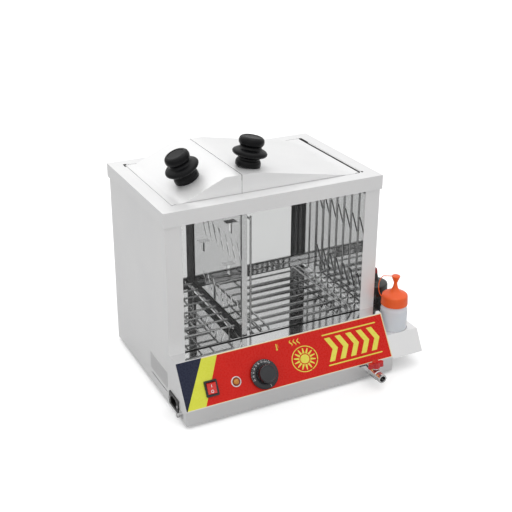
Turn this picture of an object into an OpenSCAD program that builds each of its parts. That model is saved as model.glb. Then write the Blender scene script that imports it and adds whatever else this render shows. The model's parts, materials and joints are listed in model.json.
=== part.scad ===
// Countertop steamer cabinet: a heated water tank in the base, two compartments
// behind glass, wire racks, two hinged lids, a sloping control panel, a drain tap
// and a side shelf with two squeeze bottles. Millimetres, +Z up, front towards -Y.

/* [Cabinet] */
// Width of the top frame
frame_w = 450; // [420:5:500]
// Depth of the top frame
frame_d = 299; // [280:1:340]
// Height of the top frame's upper face above the base's lower edge
body_h = 388.5; // [370:0.5:430]
// Height of the base, up to the ledge in front of the glass
base_h = 105.5; // [100:0.5:115]
// Height of the skirt around the top frame
skirt_h = 27.8; // [22:0.1:34]
// How far the skirt stands out past the cabinet walls
overhang = 3.1; // [2.6:0.1:4.5]
// Thickness of the folded steel sheet
sheet = 1.2; // [1:0.1:1.5]
// Width of a corner post, seen from the front
post_w = 32; // [28:1:38]
// Distance from a side wall's outer face to its liner's inner face
wall_gap = 13; // [10:0.5:16]
// Thickness of the window glass
glass_t = 4; // [3:0.5:5]
// How far a window reaches behind each post
glass_lap = 8; // [5:0.5:12]
// Height of the black strip under each window
seal_h = 5; // [4:0.5:8]

/* [Lids] */
// Width of the top frame's flat border at its left, front and rear
border = 28; // [26:1:32]
// Width of the strip along the right lid's hinge
hinge_strip = 6; // [4:0.5:9]
// Position of the seam between the two lids
seam_x = 166; // [150:1:190]
// Height of the lids' flat tops above the top frame
lid_rise = 35.5; // [28:0.5:42]
// Width of the left lid's flat strip beside its hinge
left_flat = 23; // [20:1:28]
// Distance from the seam to the left lid's crease
left_crease = 34; // [24:1:40]
// Width of the right lid's flat strip beside its hinge
right_flat = 30; // [22:1:40]
// Distance from the seam to the right lid's crease
right_crease = 27; // [20:1:30]
// Diameter of a hinge pin
hinge_pin_d = 4; // [3:0.5:4.5]

/* [Knobs] */
// Diameter of a lid knob's middle disc
knob_mid_d = 66; // [58:1:70]
// Diameter of a lid knob's base and top discs
knob_end_d = 48; // [42:1:52]
// Height of a lid knob
knob_h = 56; // [50:1:62]
// Place of the left knob from the front of the top frame
left_knob_y = 103; // [80:1:200]
// Place of the right knob from the front of the top frame
right_knob_y = 75; // [65:1:200]

/* [Control panel] */
// How far the ledge's front edge stands out from the top frame's front
ledge_out = 25.3; // [20:0.1:32]
// How far the panel's lower edge stands out from the top frame's front
panel_out = 74.2; // [66:0.1:84]
// Height of the upright lip under the sloping panel
lip_h = 30; // [27:0.5:34]
// Thickness of the printed overlay on the panel
overlay_t = 0.5; // [0.3:0.1:0.8]
// Position of the rocker switch from the left edge of the top frame
switch_x = 60; // [50:1:70]
// Position of the pilot light from the left edge of the top frame
pilot_x = 110; // [96:1:120]
// Position of the dial from the left edge of the top frame
dial_x = 167.5; // [155:0.5:200]
// Distance of the controls down the slope from the ledge
control_s = 58.5; // [50:0.5:60]
// Width of the switch's bezel
switch_w = 25.5; // [24:0.5:28]
// Height of the switch's bezel
switch_h = 30; // [28:0.5:33]
// Diameter of the pilot light's ring
pilot_d = 20; // [17:0.5:24]
// Diameter of the dial's skirt
dial_d = 56; // [50:1:60]
// Diameter of the dial's grip
grip_d = 38; // [34:1:42]

/* [Inside] */
// Height of the water tank's floor above the base's lower edge
tank_floor = 70; // [66:0.5:74]
// Position of the divider between the compartments
divider_x = 163; // [150:1:190]
// Depth of the divider
divider_d = 249; // [230:1:255]
// Diameter of the rack wires
wire_d = 4; // [3:0.5:5]
// Height of the sausage rack's floor wires
rack_z = 100; // [96:1:106]
// Height of the bun rack's wires
bun_z = 130; // [122:1:150]
// Distance between neighbouring wires
wire_pitch = 27; // [24:0.5:32]
// Number of wires across the sausage rack
wire_count = 9; // [6:1:9]
// Height of the sausage rack's upper rail
rail_z = 346; // [320:1:358]

/* [Drain tap] */
// Distance of the tap from the right edge of the top frame
tap_in = 57; // [50:1:70]
// Height of the tap's axis
tap_z = 19; // [17:0.5:20]
// Length of the tap in front of the lip
tap_len = 46; // [42:1:55]
// Diameter of the tap's spout
spout_d = 18; // [16:0.5:20]
// Diameter of the tap's water way
water_d = 12; // [9:0.5:13]

/* [Bottle shelf] */
// Width of the shelf beside the cabinet
shelf_w = 71.7; // [66:0.1:85]
// Height of the shelf's top
shelf_top = 66; // [60:0.5:72]
// Height of the shelf's floor
shelf_low = 25; // [20:0.5:30]
// Depth of the shelf from the ledge's front edge to its rear
shelf_d = 140; // [130:1:170]
// Diameter of a bottle
bottle_d = 54; // [48:0.5:56]
// Height of a bottle's body up to its shoulder
bottle_h = 83; // [75:1:100]
// Distance between the two bottles
bottle_pitch = 72; // [64:1:74]

/* [Feet] */
// Height of a foot
foot_h = 6; // [4:0.5:12]
// Diameter of a foot
foot_d = 24; // [18:1:28]

/* [Hidden] */
$fn = 48;
touch = 0.01;
run_gap = 0.05;
lid_gap = 1;
seat_gap = 0.3;

cab_x0 = overhang;
cab_x1 = frame_w - overhang;
cab_y0 = overhang;
cab_y1 = frame_d - overhang;
cab_w = cab_x1 - cab_x0;
in_x0 = cab_x0 + wall_gap;
in_x1 = cab_x1 - wall_gap;
plate_z = body_h - sheet;
glass_y = cab_y0 + sheet;
seal_leg = 1;
liner_y0 = glass_y + glass_t + seal_leg;
liner_y1 = frame_d - liner_y0;
flange_z = base_h - sheet;

panel_rise = base_h - lip_h;
panel_run = panel_out - ledge_out;
panel_tilt = atan2(panel_rise, panel_run);
panel_len = norm([panel_rise, panel_run]);
flange_w = 14;
function panel_y(z) = -panel_out + (z - lip_h) * panel_run / panel_rise;

open_x0 = border;
open_x1 = frame_w - border + 1 - hinge_strip;
open_y0 = border + 2;
open_y1 = frame_d - border + 1;
lip_drop = 11.5;
gutter_w = 5;
gutter_z = body_h - lip_drop;
pin_in = 5;
pin_drop = 4;
left_pin_x = open_x0 + lid_gap + pin_in;
right_pin_x = open_x1 - lid_gap - pin_in;
pin_z = body_h - pin_drop;
ear_r = lip_drop - sheet - seat_gap - pin_drop;
lid_y0 = open_y0 + lid_gap;
lid_y1 = open_y1 - lid_gap;
lid_top = body_h + lid_rise;
seam_gap = 1;
seam_drop = 12;
left_slope_x0 = open_x0 + left_flat;
left_slope_x1 = seam_x - left_crease;
right_slope_x0 = open_x1 - right_flat;
right_slope_x1 = seam_x + right_crease;
left_tilt = atan2(lid_rise, left_slope_x1 - left_slope_x0);
right_tilt = atan2(lid_rise, right_slope_x0 - right_slope_x1);
left_knob_s = 0.475 * norm([lid_rise, left_slope_x1 - left_slope_x0]);
right_knob_s = 6;
knob_screw_d = 5;

divider_y0 = liner_y0 + sheet + seat_gap;
bay_x0 = divider_x + 11;
bay_x1 = in_x1 - 14;
wire_y0 = liner_y0 + sheet + wire_d / 2 + 0.5;
wire_bend = 12;
weld = 0.6;
under_z = rack_z - wire_d + weld;
leg_z = tank_floor + wire_d / 2;
bun_y0 = liner_y0 + 9;
bun_pitch = wire_pitch + 1.5;
bun_count = 8;
bun_x0 = in_x0 + 6;
bun_x1 = divider_x - 21;
bun_under = bun_z - wire_d + weld;

shelf_x0 = cab_x1;
shelf_x1 = cab_x1 + shelf_w;
shelf_y1 = shelf_d - ledge_out;
tether_r = 0.46 * bottle_d;
tether_d = 1.8;
bottle_x = shelf_x0 + 0.62 * bottle_d;
bottle_y = -ledge_out + 4;
bottle_z = shelf_low + sheet;
bottle_clear = 1;
neck_d = 0.8 * bottle_d;
neck_h = 14;
shoulder_h = 8;
cap_z = bottle_z + bottle_h + shoulder_h + 0.2;

foot_in = 26;
tap_x = frame_w - tap_in;
tap_front = panel_out + tap_len;
earth_out = 10;

origin_x = (shelf_x1 + cab_x0 - earth_out) / 2;
origin_y = (frame_d - tap_front) / 2;

// Shared placing and shaping

module at_rear() {
    translate([0, frame_d, 0]) mirror([0, 1, 0]) children();
}

module at_right() {
    translate([frame_w, 0, 0]) mirror([1, 0, 0]) children();
}

// On the sloping panel: local X to the right, Y up the slope, Z out of the panel
module on_panel(x, s) {
    translate([x, -ledge_out - s * cos(panel_tilt), base_h - s * sin(panel_tilt)])
        rotate([panel_tilt, 0, 0]) children();
}

// An outline in the YZ plane, drawn with Y across and Z up, made `w` long along X
module along_x(x0, w) {
    translate([x0, 0, 0]) rotate([90, 0, 90]) linear_extrude(w) children();
}

// An outline in the XZ plane, drawn with X across and Z up, made `w` long along Y
module along_y(y0, w) {
    translate([0, y0 + w, 0]) rotate([90, 0, 0]) linear_extrude(w) children();
}

function unit(v) = v / norm(v);
function left_of(v) = [-v[1], v[0]];

// Offset of the corner i of an open path by t to its left, with mitred corners
function mitre(p, i, t) =
    let (last = len(p) - 1)
    let (a = unit(i == 0 ? p[1] - p[0] : p[i] - p[i - 1]))
    let (b = unit(i == last ? p[last] - p[last - 1] : p[i + 1] - p[i]))
    let (n = left_of(a) + left_of(b))
    p[i] + n * t * 2 / (n * n);

// A folded sheet's cross-section: the path p, thickened by t to its left
module folded(p, t = sheet) {
    far = [for (i = [len(p) - 1:-1:0]) mitre(p, i, t)];
    polygon(concat(p, far));
}

// A slot with round ends, centred, `l` long along Y
module slot_outline(l, w) {
    square([w, l - w], center = true);
    for (s = [-1, 1]) translate([0, s * (l - w) / 2]) circle(d = w);
}

// A rectangle with round corners, centred
module round_rect(w, h, r) {
    square([w - 2 * r, h], center = true);
    square([w, h - 2 * r], center = true);
    for (i = [-1, 1], j = [-1, 1])
        translate([i * (w / 2 - r), j * (h / 2 - r)]) circle(r);
}

// A round rod between two points
module rod(a, b, d) {
    v = b - a;
    translate(a) rotate([0, acos(v[2] / norm(v)), atan2(v[1], v[0])])
        cylinder(d = d, h = norm(v));
}

// A round wire or pipe along a list of points, with ball corners
module wire(points, d) {
    for (i = [0:len(points) - 2]) rod(points[i], points[i + 1], d);
    for (i = [1:len(points) - 2]) translate(points[i]) sphere(d = d);
}

// A pan-head screw whose head's underside lies on z = 0 and whose shank points down
module screw(d, l) {
    head_h = 0.6 * d;
    difference() {
        union() {
            cylinder(d = 1.9 * d, h = head_h * 0.7);
            translate([0, 0, head_h * 0.7]) cylinder(d1 = 1.9 * d, d2 = 1.3 * d, h = head_h * 0.3);
        }
        translate([0, 0, head_h * 0.55]) {
            cube([1.3 * d, 0.25 * d, head_h], center = true);
            cube([0.25 * d, 1.3 * d, head_h], center = true);
        }
    }
    translate([0, 0, -l]) cylinder(d = d, h = l);
}

// Base

inlet_y = -18;
inlet_z = 21;
inlet_w = 44;
inlet_h = 28;
socket_w = 26;
socket_h = 18;
vent_y = 57;
vent_z = 22;
vent_l = 82;
vent_w = 2.5;
earth_y = -50;
earth_z = 13;

panel_path = [[liner_y0, base_h], [-ledge_out, base_h], [-panel_out, lip_h],
    [-panel_out, 0], [-panel_out + flange_w, 0]];
panel_inner = [for (i = [1:3]) mitre(panel_path, i, sheet)];

module base_side() {
    difference() {
        along_x(cab_x0, sheet) polygon(concat([[-panel_out + flange_w, 0], [cab_y1, 0],
            [cab_y1, base_h], [liner_y0, base_h], [liner_y0, flange_z]], panel_inner,
            [[-panel_out + flange_w, sheet]]));
        children();
    }
    difference() {
        translate([cab_x0, -panel_out + flange_w, 0])
            cube([flange_w, cab_y1 + panel_out - flange_w - touch, sheet]);
        for (p = plate_screws) translate([p[0], p[1], -1]) cylinder(d = 3.4, h = sheet + 2);
    }
}

module side_vent() {
    translate([cab_x0 - 1, vent_y, vent_z]) rotate([90, 0, 90])
        linear_extrude(sheet + 2) rotate(90) slot_outline(vent_l, vent_w);
}

module inlet_cutout() {
    translate([cab_x0 - 1, inlet_y, inlet_z]) rotate([90, 0, 90])
        linear_extrude(sheet + 2) square([socket_w + 4, socket_h + 4], center = true);
    for (s = [-1, 1]) translate([cab_x0 - 1, inlet_y + s * inlet_screw_y, inlet_z])
        rotate([0, 90, 0]) cylinder(d = 3.2, h = sheet + 2);
    translate([cab_x0 - 1, earth_y, earth_z]) rotate([0, 90, 0]) cylinder(d = 4.2, h = sheet + 2);
}

inlet_screw_y = inlet_w / 2 - 3.5;

module base_shell() {
    color("silver") {
        base_side() {
            side_vent();
            inlet_cutout();
        }
        at_right() base_side() {
            side_vent();
            shelf_holes(4.4);
        }
        difference() {
            along_x(cab_x0 + touch, cab_w - 2 * touch) folded([[cab_y1 - flange_w, 0],
                [cab_y1, 0], [cab_y1, base_h], [liner_y1, base_h]]);
            for (i = [-3:3]) translate([frame_w / 2 + i * 40, cab_y1 - sheet - 1, base_h * 0.42])
                rotate([-90, 0, 0]) linear_extrude(sheet + 2) slot_outline(36, 5);
        }
    }
}

module tap_cutout() {
    translate([tap_x, -panel_out - 1, tap_z]) rotate([-90, 0, 0])
        cylinder(d = spout_d + 3, h = sheet + 2);
    translate([tap_x - 24, -panel_out - 1, lip_h - 3.4]) cube([48, sheet + 2, 2.6]);
}

module panel_cutouts(depth) {
    on_panel(switch_x, control_s) translate([0, 0, -depth]) linear_extrude(2 * depth)
        square([switch_w - 4, switch_h - 4], center = true);
    on_panel(pilot_x, control_s) translate([0, 0, -depth])
        cylinder(d = pilot_d * 0.6, h = 2 * depth);
    on_panel(dial_x, control_s) translate([0, 0, -depth]) cylinder(d = 10.4, h = 2 * depth);
}

module control_panel() {
    color("gainsboro") difference() {
        along_x(cab_x0, cab_w) folded(panel_path);
        panel_cutouts(3 * sheet);
        tap_cutout();
    }
}

module panel_overlay() {
    margin = 1;
    color("firebrick") difference() {
        on_panel(frame_w / 2, panel_len / 2) linear_extrude(overlay_t)
            round_rect(cab_w - 2 * margin, panel_len - 2 * margin, 1);
        panel_cutouts(3 * sheet);
    }
}

module bottom_plate() {
    x0 = cab_x0 + flange_w + 2;
    y0 = -panel_out + flange_w + 2;
    w = cab_w - 2 * flange_w - 4;
    d = cab_y1 + panel_out - 2 * flange_w - 4;
    color("darkgray") difference() {
        translate([x0 - 9, y0 - 9, sheet]) cube([w + 18, d + 18, sheet]);
        for (i = [-4:4], j = [-1, 1])
            translate([frame_w / 2 + i * 24, cab_y1 / 2 - 36 + j * 40, -1])
                linear_extrude(3 * sheet + 2) slot_outline(50, 6);
        for (p = foot_places) translate([p[0], p[1], -1]) cylinder(d = 4.4, h = 2 * sheet + 2);
        for (p = plate_screws) translate([p[0], p[1], -1]) cylinder(d = 3.4, h = 2 * sheet + 2);
    }
}

foot_places = [for (x = [cab_x0 + foot_in + 8, cab_x1 - foot_in - 8],
    y = [-panel_out + foot_in + 8, cab_y1 - foot_in - 8]) [x, y]];
plate_screws = [for (x = [cab_x0 + 11, cab_x1 - 11], y = [-20, frame_d / 2, cab_y1 - 50]) [x, y]];

module base_screws() {
    color("gray") for (p = plate_screws) translate([p[0], p[1], 0]) mirror([0, 0, 1]) screw(3, 6);
}

// A push-in foot: a tapered pad, a neck through the bottom plate and a barb above it
module feet() {
    pad = foot_h + sheet;
    neck = 2.1;
    color("dimgray") for (p = foot_places) translate([p[0], p[1], -foot_h]) difference() {
        rotate_extrude() polygon([[0, 0], [foot_d / 2 - 1.5, 0], [foot_d / 2 - 0.4, 0.8],
            [foot_d / 2, pad], [neck, pad], [neck, pad + sheet], [neck + 1.4, pad + sheet + seat_gap],
            [0, pad + sheet + 3]]);
        translate([0, 0, -1]) cylinder(d = 7, h = 2.5);
    }
}

// Tank and heating

module water_tank() {
    well_w = in_x1 - in_x0;
    y0 = liner_y0 + sheet;
    well_d = frame_d - 2 * y0;
    color("lightsteelblue") difference() {
        union() {
            translate([in_x0 - sheet, y0 - sheet, tank_floor - sheet])
                cube([well_w + 2 * sheet, well_d + 2 * sheet, flange_z - tank_floor + sheet]);
            translate([cab_x0 + sheet, liner_y0 - 8, flange_z - sheet])
                cube([cab_w - 2 * sheet, cab_y1 - sheet - liner_y0 + 8, sheet]);
        }
        translate([in_x0, y0, tank_floor]) cube([well_w, well_d, base_h]);
        translate([tap_x, drain_y, tank_floor - 5]) cylinder(d = water_d, h = 10);
    }
}

drain_y = 34;
heater_d = 8;
heater_z = tank_floor - sheet - heater_d / 2;
heater_x0 = 190;
heater_y0 = 60;
heater_y1 = 230;
heater_bend = 20;

module heater_bow(x, y, turn) {
    translate([x, y, heater_z]) rotate(turn) rotate_extrude(angle = 180)
        translate([heater_bend, 0]) circle(d = heater_d);
}

module heating_element() {
    legs = 4;
    color("saddlebrown") {
        for (i = [0:legs]) {
            x = heater_x0 + i * 2 * heater_bend;
            tail = i == 0 || i == legs ? 30 : 0;
            rod([x, heater_y0, heater_z], [x, heater_y1 + tail, heater_z], heater_d);
        }
        for (i = [0:legs - 1])
            heater_bow(heater_x0 + (2 * i + 1) * heater_bend,
                i % 2 == 0 ? heater_y0 : heater_y1, i % 2 == 0 ? 180 : 0);
    }
}

module element_clamps() {
    color("slategray") for (y = [heater_y0 + 30, heater_y1 - 30]) difference() {
        translate([heater_x0 - 16, y - 6, heater_z - heater_d / 2 - 2])
            cube([8 * heater_bend + 32, 12, heater_d + 2]);
        for (i = [0:4]) translate([heater_x0 + i * 2 * heater_bend, y - 7, heater_z])
            rotate([-90, 0, 0]) cylinder(d = heater_d + 0.6, h = 14);
        translate([heater_x0 - 4, y - 7, heater_z])
            cube([8 * heater_bend + 8, 14, heater_d]);
    }
}

module drain_pipe() {
    wall = 1.5;
    bend = 16;
    od = water_d + 2 * wall;
    top = tank_floor - sheet;
    start = -panel_out + 12 + seat_gap;
    module way(d, over) {
        translate([tap_x, drain_y, tap_z + bend]) cylinder(d = d, h = top - tap_z - bend + over);
        translate([tap_x, start - over, tap_z]) rotate([-90, 0, 0])
            cylinder(d = d, h = drain_y - bend - start + over);
        translate([tap_x, drain_y - bend, tap_z + bend]) rotate([0, 90, 0])
            rotate_extrude(angle = 90) translate([bend, 0]) circle(d = d);
    }
    color("peru") difference() {
        union() {
            way(od, 0);
            translate([tap_x, drain_y, top - 3]) cylinder(d = od + 10, h = 3);
        }
        way(water_d, 1);
    }
}

module thermostat_bulb() {
    bulb_d = 6;
    z = tank_floor - sheet - bulb_d / 2;
    x = 120;
    body = panel_point(dial_x + 10, control_s, -sheet - 26);
    away = panel_point(dial_x + 10, control_s, -sheet - 34);
    color("darkgoldenrod") {
        rod([x, 80, z], [x, 180, z], bulb_d);
        wire([[x, 82, z], [x, 50, z - 8], [x + 20, 25, z - 20], away, body], 2, $fn = 8);
    }
    color("silver") for (y = [100, 160]) difference() {
        translate([x - 8, y - 5, z - bulb_d / 2 - 1]) cube([16, 10, bulb_d + 1]);
        translate([x, y - 6, z]) rotate([-90, 0, 0]) cylinder(d = bulb_d + 2 * run_gap, h = 12);
    }
}

// The point s down the slope and n out of the panel
function panel_point(x, s, n) = [x,
    -ledge_out - s * cos(panel_tilt) - n * sin(panel_tilt),
    base_h - s * sin(panel_tilt) + n * cos(panel_tilt)];

// Cabinet walls and windows

module side_panel() {
    translate([0, 0, base_h]) linear_extrude(plate_z - base_h)
        folded([[cab_x0 + post_w, cab_y1], [cab_x0, cab_y1], [cab_x0, cab_y0],
            [cab_x0 + post_w, cab_y0]]);
}

module left_side_panel() { color("lightgray") side_panel(); }

module right_side_panel() { color("lightgray") at_right() side_panel(); }

steam_slot_l = 49;
steam_slot_w = 5;
steam_slot_lean = 30;
steam_slot_y = 37;
steam_slot_z = [0.567, 0.135];
steam_slots = 7;

// Rows of leaning steam slots, drawn with Y across and Z up
module steam_slot_rows() {
    for (part = steam_slot_z, i = [0:steam_slots - 1])
        translate([steam_slot_y + i * wire_pitch, base_h + part * (body_h - base_h)])
            rotate(-steam_slot_lean) slot_outline(steam_slot_l, steam_slot_w);
}

module liner() {
    along_x(in_x0 - sheet, sheet) difference() {
        translate([liner_y0, flange_z]) square([liner_y1 - liner_y0, plate_z - flange_z]);
        steam_slot_rows();
    }
}

module left_liner() { color("gainsboro") liner(); }

module right_liner() { color("gainsboro") at_right() liner(); }

module window() {
    x0 = cab_x0 + post_w - glass_lap;
    translate([x0, glass_y, base_h + seal_h / 3])
        cube([frame_w - 2 * x0, glass_t, plate_z - base_h - seal_h / 3 - 1]);
}

module front_glass() { color("lightcyan", 0.35) window(); }

module rear_glass() { color("lightcyan", 0.35) at_rear() window(); }

module window_seal() {
    x0 = cab_x0 + post_w - glass_lap;
    x1 = cab_x0 + post_w;
    translate([x0, glass_y, base_h]) cube([frame_w - 2 * x0, glass_t + seal_leg, seal_h / 3]);
    translate([x0, glass_y + glass_t, base_h]) cube([frame_w - 2 * x0, seal_leg, seal_h]);
    translate([x1, glass_y - seal_leg, base_h]) cube([frame_w - 2 * x1, seal_leg, seal_h]);
}

module front_glass_seal() { color("black") window_seal(); }

module rear_glass_seal() { color("black") at_rear() window_seal(); }

module top_frame() {
    color("whitesmoke") difference() {
        union() {
            difference() {
                translate([0, 0, body_h - skirt_h]) cube([frame_w, frame_d, skirt_h]);
                translate([sheet, sheet, body_h - skirt_h - 1])
                    cube([frame_w - 2 * sheet, frame_d - 2 * sheet, skirt_h - sheet + 1]);
                translate([open_x0, open_y0, body_h - 5])
                    cube([open_x1 - open_x0, open_y1 - open_y0, 10]);
            }
            lid_gutter();
            at_rear() translate([0, frame_d - open_y1 - open_y0, 0]) lid_gutter();
        }
        for (x = [left_pin_x, right_pin_x])
            translate([x, 0, pin_z]) rotate([-90, 0, 0])
                translate([0, 0, sheet + 1]) cylinder(d = hinge_pin_d + 2 * run_gap,
                    h = frame_d - 2 * sheet - 2);
        translate([open_x1 + hinge_strip, open_y0, body_h - 0.3])
            cube([0.6, open_y1 - open_y0, 1]);
    }
}

// The folded lip and gutter on which a lid's end wall comes to rest
module lid_gutter() {
    along_x(open_x0, open_x1 - open_x0) folded([[open_y0 + gutter_w, gutter_z],
        [open_y0 - sheet, gutter_z], [open_y0 - sheet, plate_z + touch]], -sheet);
}

module divider() {
    tab_w = 15;
    tab_h = 22;
    tab_out = 12;
    tabs = [[68, 0.67], [205, 0.67], [78, 0.35], [197, 0.35]];
    z0 = tank_floor + 20;
    z1 = gutter_z;
    color("lightgray") {
        along_x(divider_x - sheet / 2, sheet) difference() {
            translate([divider_y0, z0]) square([divider_d, z1 - z0]);
            intersection() {
                steam_slot_rows();
                translate([liner_y0 + 10, z0]) square([divider_d - 20, z1 - z0]);
            }
            for (t = tabs) translate([t[0], base_h + t[1] * (body_h - base_h)])
                square([tab_w, tab_h]);
        }
        translate([divider_x - 8, divider_y0, z0]) cube([11, sheet, z1 - z0]);
        for (t = tabs)
            translate([divider_x - tab_out, t[0],
                base_h + t[1] * (body_h - base_h) + tab_h - touch])
                cube([tab_out, tab_w, sheet]);
    }
}

module divider_seal() {
    groove_z = tank_floor + 20;
    color("black") difference() {
        translate([divider_x - 2.5, divider_y0, tank_floor]) cube([5, divider_d - sheet, 24]);
        translate([divider_x - sheet / 2, liner_y0, groove_z])
            cube([sheet, divider_d + 10, 10]);
        translate([divider_x - 10, divider_y0 - 1, groove_z]) cube([14, sheet + 1, 10]);
    }
}

// Racks

// A wire bent to a U in the XZ plane: a bar from x0 to x1 at height `bar`, and an upright
// at each end that reaches the height `end`, above the bar or below it
module bent_wire(x0, x1, bar, end) {
    up = end > bar ? 1 : -1;
    z = bar + up * wire_bend;
    rod([x0 + wire_bend, 0, bar], [x1 - wire_bend, 0, bar], wire_d);
    for (x = [x0, x1]) rod([x, 0, z], [x, 0, end], wire_d);
    for (s = [0, 1]) translate([s == 0 ? x0 + wire_bend : x1 - wire_bend, 0, z])
        rotate([90, 0, 0]) rotate(up > 0 ? 180 + 90 * s : 90 - 90 * s)
            rotate_extrude(angle = 90) translate([wire_bend, 0]) circle(d = wire_d);
}

// The wires cross side by side, pressed together by the depth of a weld
module sausage_rack() {
    y1 = wire_y0 + (wire_count - 1) * wire_pitch;
    side = wire_d - weld;
    color("silver") {
        for (i = [0:wire_count - 1]) translate([0, wire_y0 + i * wire_pitch, 0])
            bent_wire(bay_x0, bay_x1, rack_z, rail_z + wire_d);
        for (x = [bay_x0 - side, bay_x1 + side])
            rod([x, wire_y0 - wire_d, rail_z], [x, y1 + wire_d, rail_z], wire_d);
        for (x = [bay_x0 + 27, bay_x0 + 43, bay_x1 - 28, bay_x1 - 16]) translate([x, 0, 0])
            rotate(90) bent_wire(wire_y0 + 4, y1 + wire_bend + 4, under_z, tank_floor);
    }
}

module bun_rack() {
    y1 = bun_y0 + (bun_count - 1) * bun_pitch;
    color("silver") {
        for (i = [0:bun_count - 1])
            rod([bun_x0, bun_y0 + i * bun_pitch, bun_z], [bun_x1, bun_y0 + i * bun_pitch, bun_z],
                wire_d);
        for (x = [bun_x0 + 4, bun_x0 + (bun_x1 - bun_x0) / 2 - 8, bun_x1 - 43, bun_x1 - 4])
            rod([x, bun_y0 - 4, bun_under], [x, y1 + 4, bun_under], wire_d);
        for (x = [bun_x0 + 4, bun_x1 - 4]) translate([x, 0, 0])
            rotate(90) bent_wire(bun_y0 + 12, y1 - 12, leg_z, bun_under - weld);
    }
}

// Controls

module thermostat_body() {
    face = -sheet;
    color("ivory") on_panel(dial_x, control_s) difference() {
        union() {
            translate([-18, -18, face - 26]) cube([36, 36, 22]);
            translate([-22, -9, face - 4 - touch]) cube([44, 18, 4 + touch]);
            cylinder(d = 9.6, h = 3);
            translate([0, 0, face - 5]) cylinder(d = 9.6, h = 5 + sheet);
        }
        translate([0, 0, face - 20]) cylinder(d = 6 + 2 * run_gap, h = 40);
    }
    color("goldenrod") on_panel(dial_x, control_s) translate([0, 0, overlay_t]) difference() {
        linear_extrude(2.2) circle(d = 15, $fn = 6);
        translate([0, 0, -1]) cylinder(d = 9.6 + 2 * run_gap, h = 5);
    }
}

dial_skirt_t = 3;
dial_z = overlay_t + 2.2 + 0.8;
dial_h = 20;

module dial() {
    color("dimgray") on_panel(dial_x, control_s) translate([0, 0, dial_z]) difference() {
        union() {
            rotate_extrude() polygon([[0, 0], [dial_d / 2 - 0.8, 0], [dial_d / 2, 0.8],
                [dial_d / 2, 1.6], [dial_d / 2 - 3, dial_skirt_t], [grip_d / 2, dial_skirt_t + 0.8],
                [grip_d / 2 - 2, dial_h - 1.2], [grip_d / 2 - 3.2, dial_h], [0, dial_h]]);
            translate([-1.2, -grip_d / 2 - 0.4, dial_skirt_t - 1]) cube([2.4, 2, dial_h - 5]);
        }
        translate([0, 0, -1]) cylinder(d = 6 + 2 * run_gap, h = dial_h - 4);
        for (i = [0:23]) rotate(i * 15 + 7.5)
            translate([grip_d / 2 + 1.6, 0, dial_skirt_t + 2]) cylinder(r = 2, h = dial_h);
        translate([0, 0, dial_h - 0.6]) cylinder(d = grip_d - 12, h = 1);
    }
}

module dial_shaft() {
    color("silver") on_panel(dial_x, control_s)
        translate([0, 0, -sheet - 18]) cylinder(d = 6, h = dial_z + sheet + 18 + dial_h - 6);
}

bezel_h = 2.5;
rocker_tilt = 9;
rocker_w = switch_w - 8;
rocker_l = switch_h - 9;
rocker_r = 16;
rocker_pin_z = overlay_t - 1;

module switch_housing() {
    color("black") on_panel(switch_x, control_s) difference() {
        union() {
            translate([0, 0, overlay_t]) linear_extrude(bezel_h)
                round_rect(switch_w, switch_h, 2);
            translate([0, 0, -20]) linear_extrude(20 + overlay_t + touch)
                square([switch_w - 4.6, switch_h - 4.6], center = true);
            for (s = [-1, 1]) translate([0, s * 7, -27]) cube([6, 0.8, 16], center = true);
        }
        translate([0, 0, -13]) linear_extrude(30)
            square([rocker_w + 2 * seat_gap, rocker_l + 2 * seat_gap + 1.4], center = true);
        translate([0, 0, rocker_pin_z]) rotate([0, 90, 0])
            cylinder(d = 3 + 2 * run_gap, h = rocker_w + 2.4, center = true);
    }
}

// The rocker rests tipped, with its upper half standing out
module switch_rocker() {
    color("red") on_panel(switch_x, control_s) translate([0, 0, rocker_pin_z]) {
        rotate([rocker_tilt, 0, 0]) translate([-rocker_w / 2, 0, 0]) rotate([90, 0, 90])
            linear_extrude(rocker_w) difference() {
                polygon([[-rocker_l / 2, 3], [-rocker_l / 2, -1], [-4, -8], [4, -8],
                    [rocker_l / 2, -1], [rocker_l / 2, 3], [rocker_l / 2 - 0.8, 5.2],
                    [-rocker_l / 2 + 0.8, 5.2]]);
                translate([0, rocker_r * 2.4]) circle(r = rocker_r * 2.1);
            }
        rotate([0, 90, 0]) cylinder(d = 3, h = rocker_w + 1.6, center = true);
    }
}

module pilot_ring() {
    bore = pilot_d * 0.42;
    color("white") on_panel(pilot_x, control_s) difference() {
        union() {
            translate([0, 0, overlay_t]) rotate_extrude() polygon([[0, 0], [pilot_d / 2, 0],
                [pilot_d / 2, 1], [pilot_d / 2 - 1.5, 2.6], [0, 2.6]]);
            translate([0, 0, -24]) cylinder(d = pilot_d * 0.58, h = 24 + overlay_t + touch);
            translate([0, 0, -sheet - 4]) linear_extrude(4) circle(d = pilot_d * 0.95, $fn = 6);
        }
        translate([0, 0, -16]) cylinder(d = bore, h = 30);
    }
}

module pilot_lens() {
    bore = pilot_d * 0.42;
    color("orange", 0.8) on_panel(pilot_x, control_s) {
        translate([0, 0, -16]) cylinder(d = bore - 2 * run_gap, h = 18.6 + overlay_t);
        translate([0, 0, 2.6 + overlay_t]) rotate_extrude() polygon([[0, 0],
            [bore / 2 + 1.5, 0], [bore / 2 + 1.2, 1.2], [bore / 2 - 1, 2.6], [0, 3.2]]);
    }
}

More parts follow.
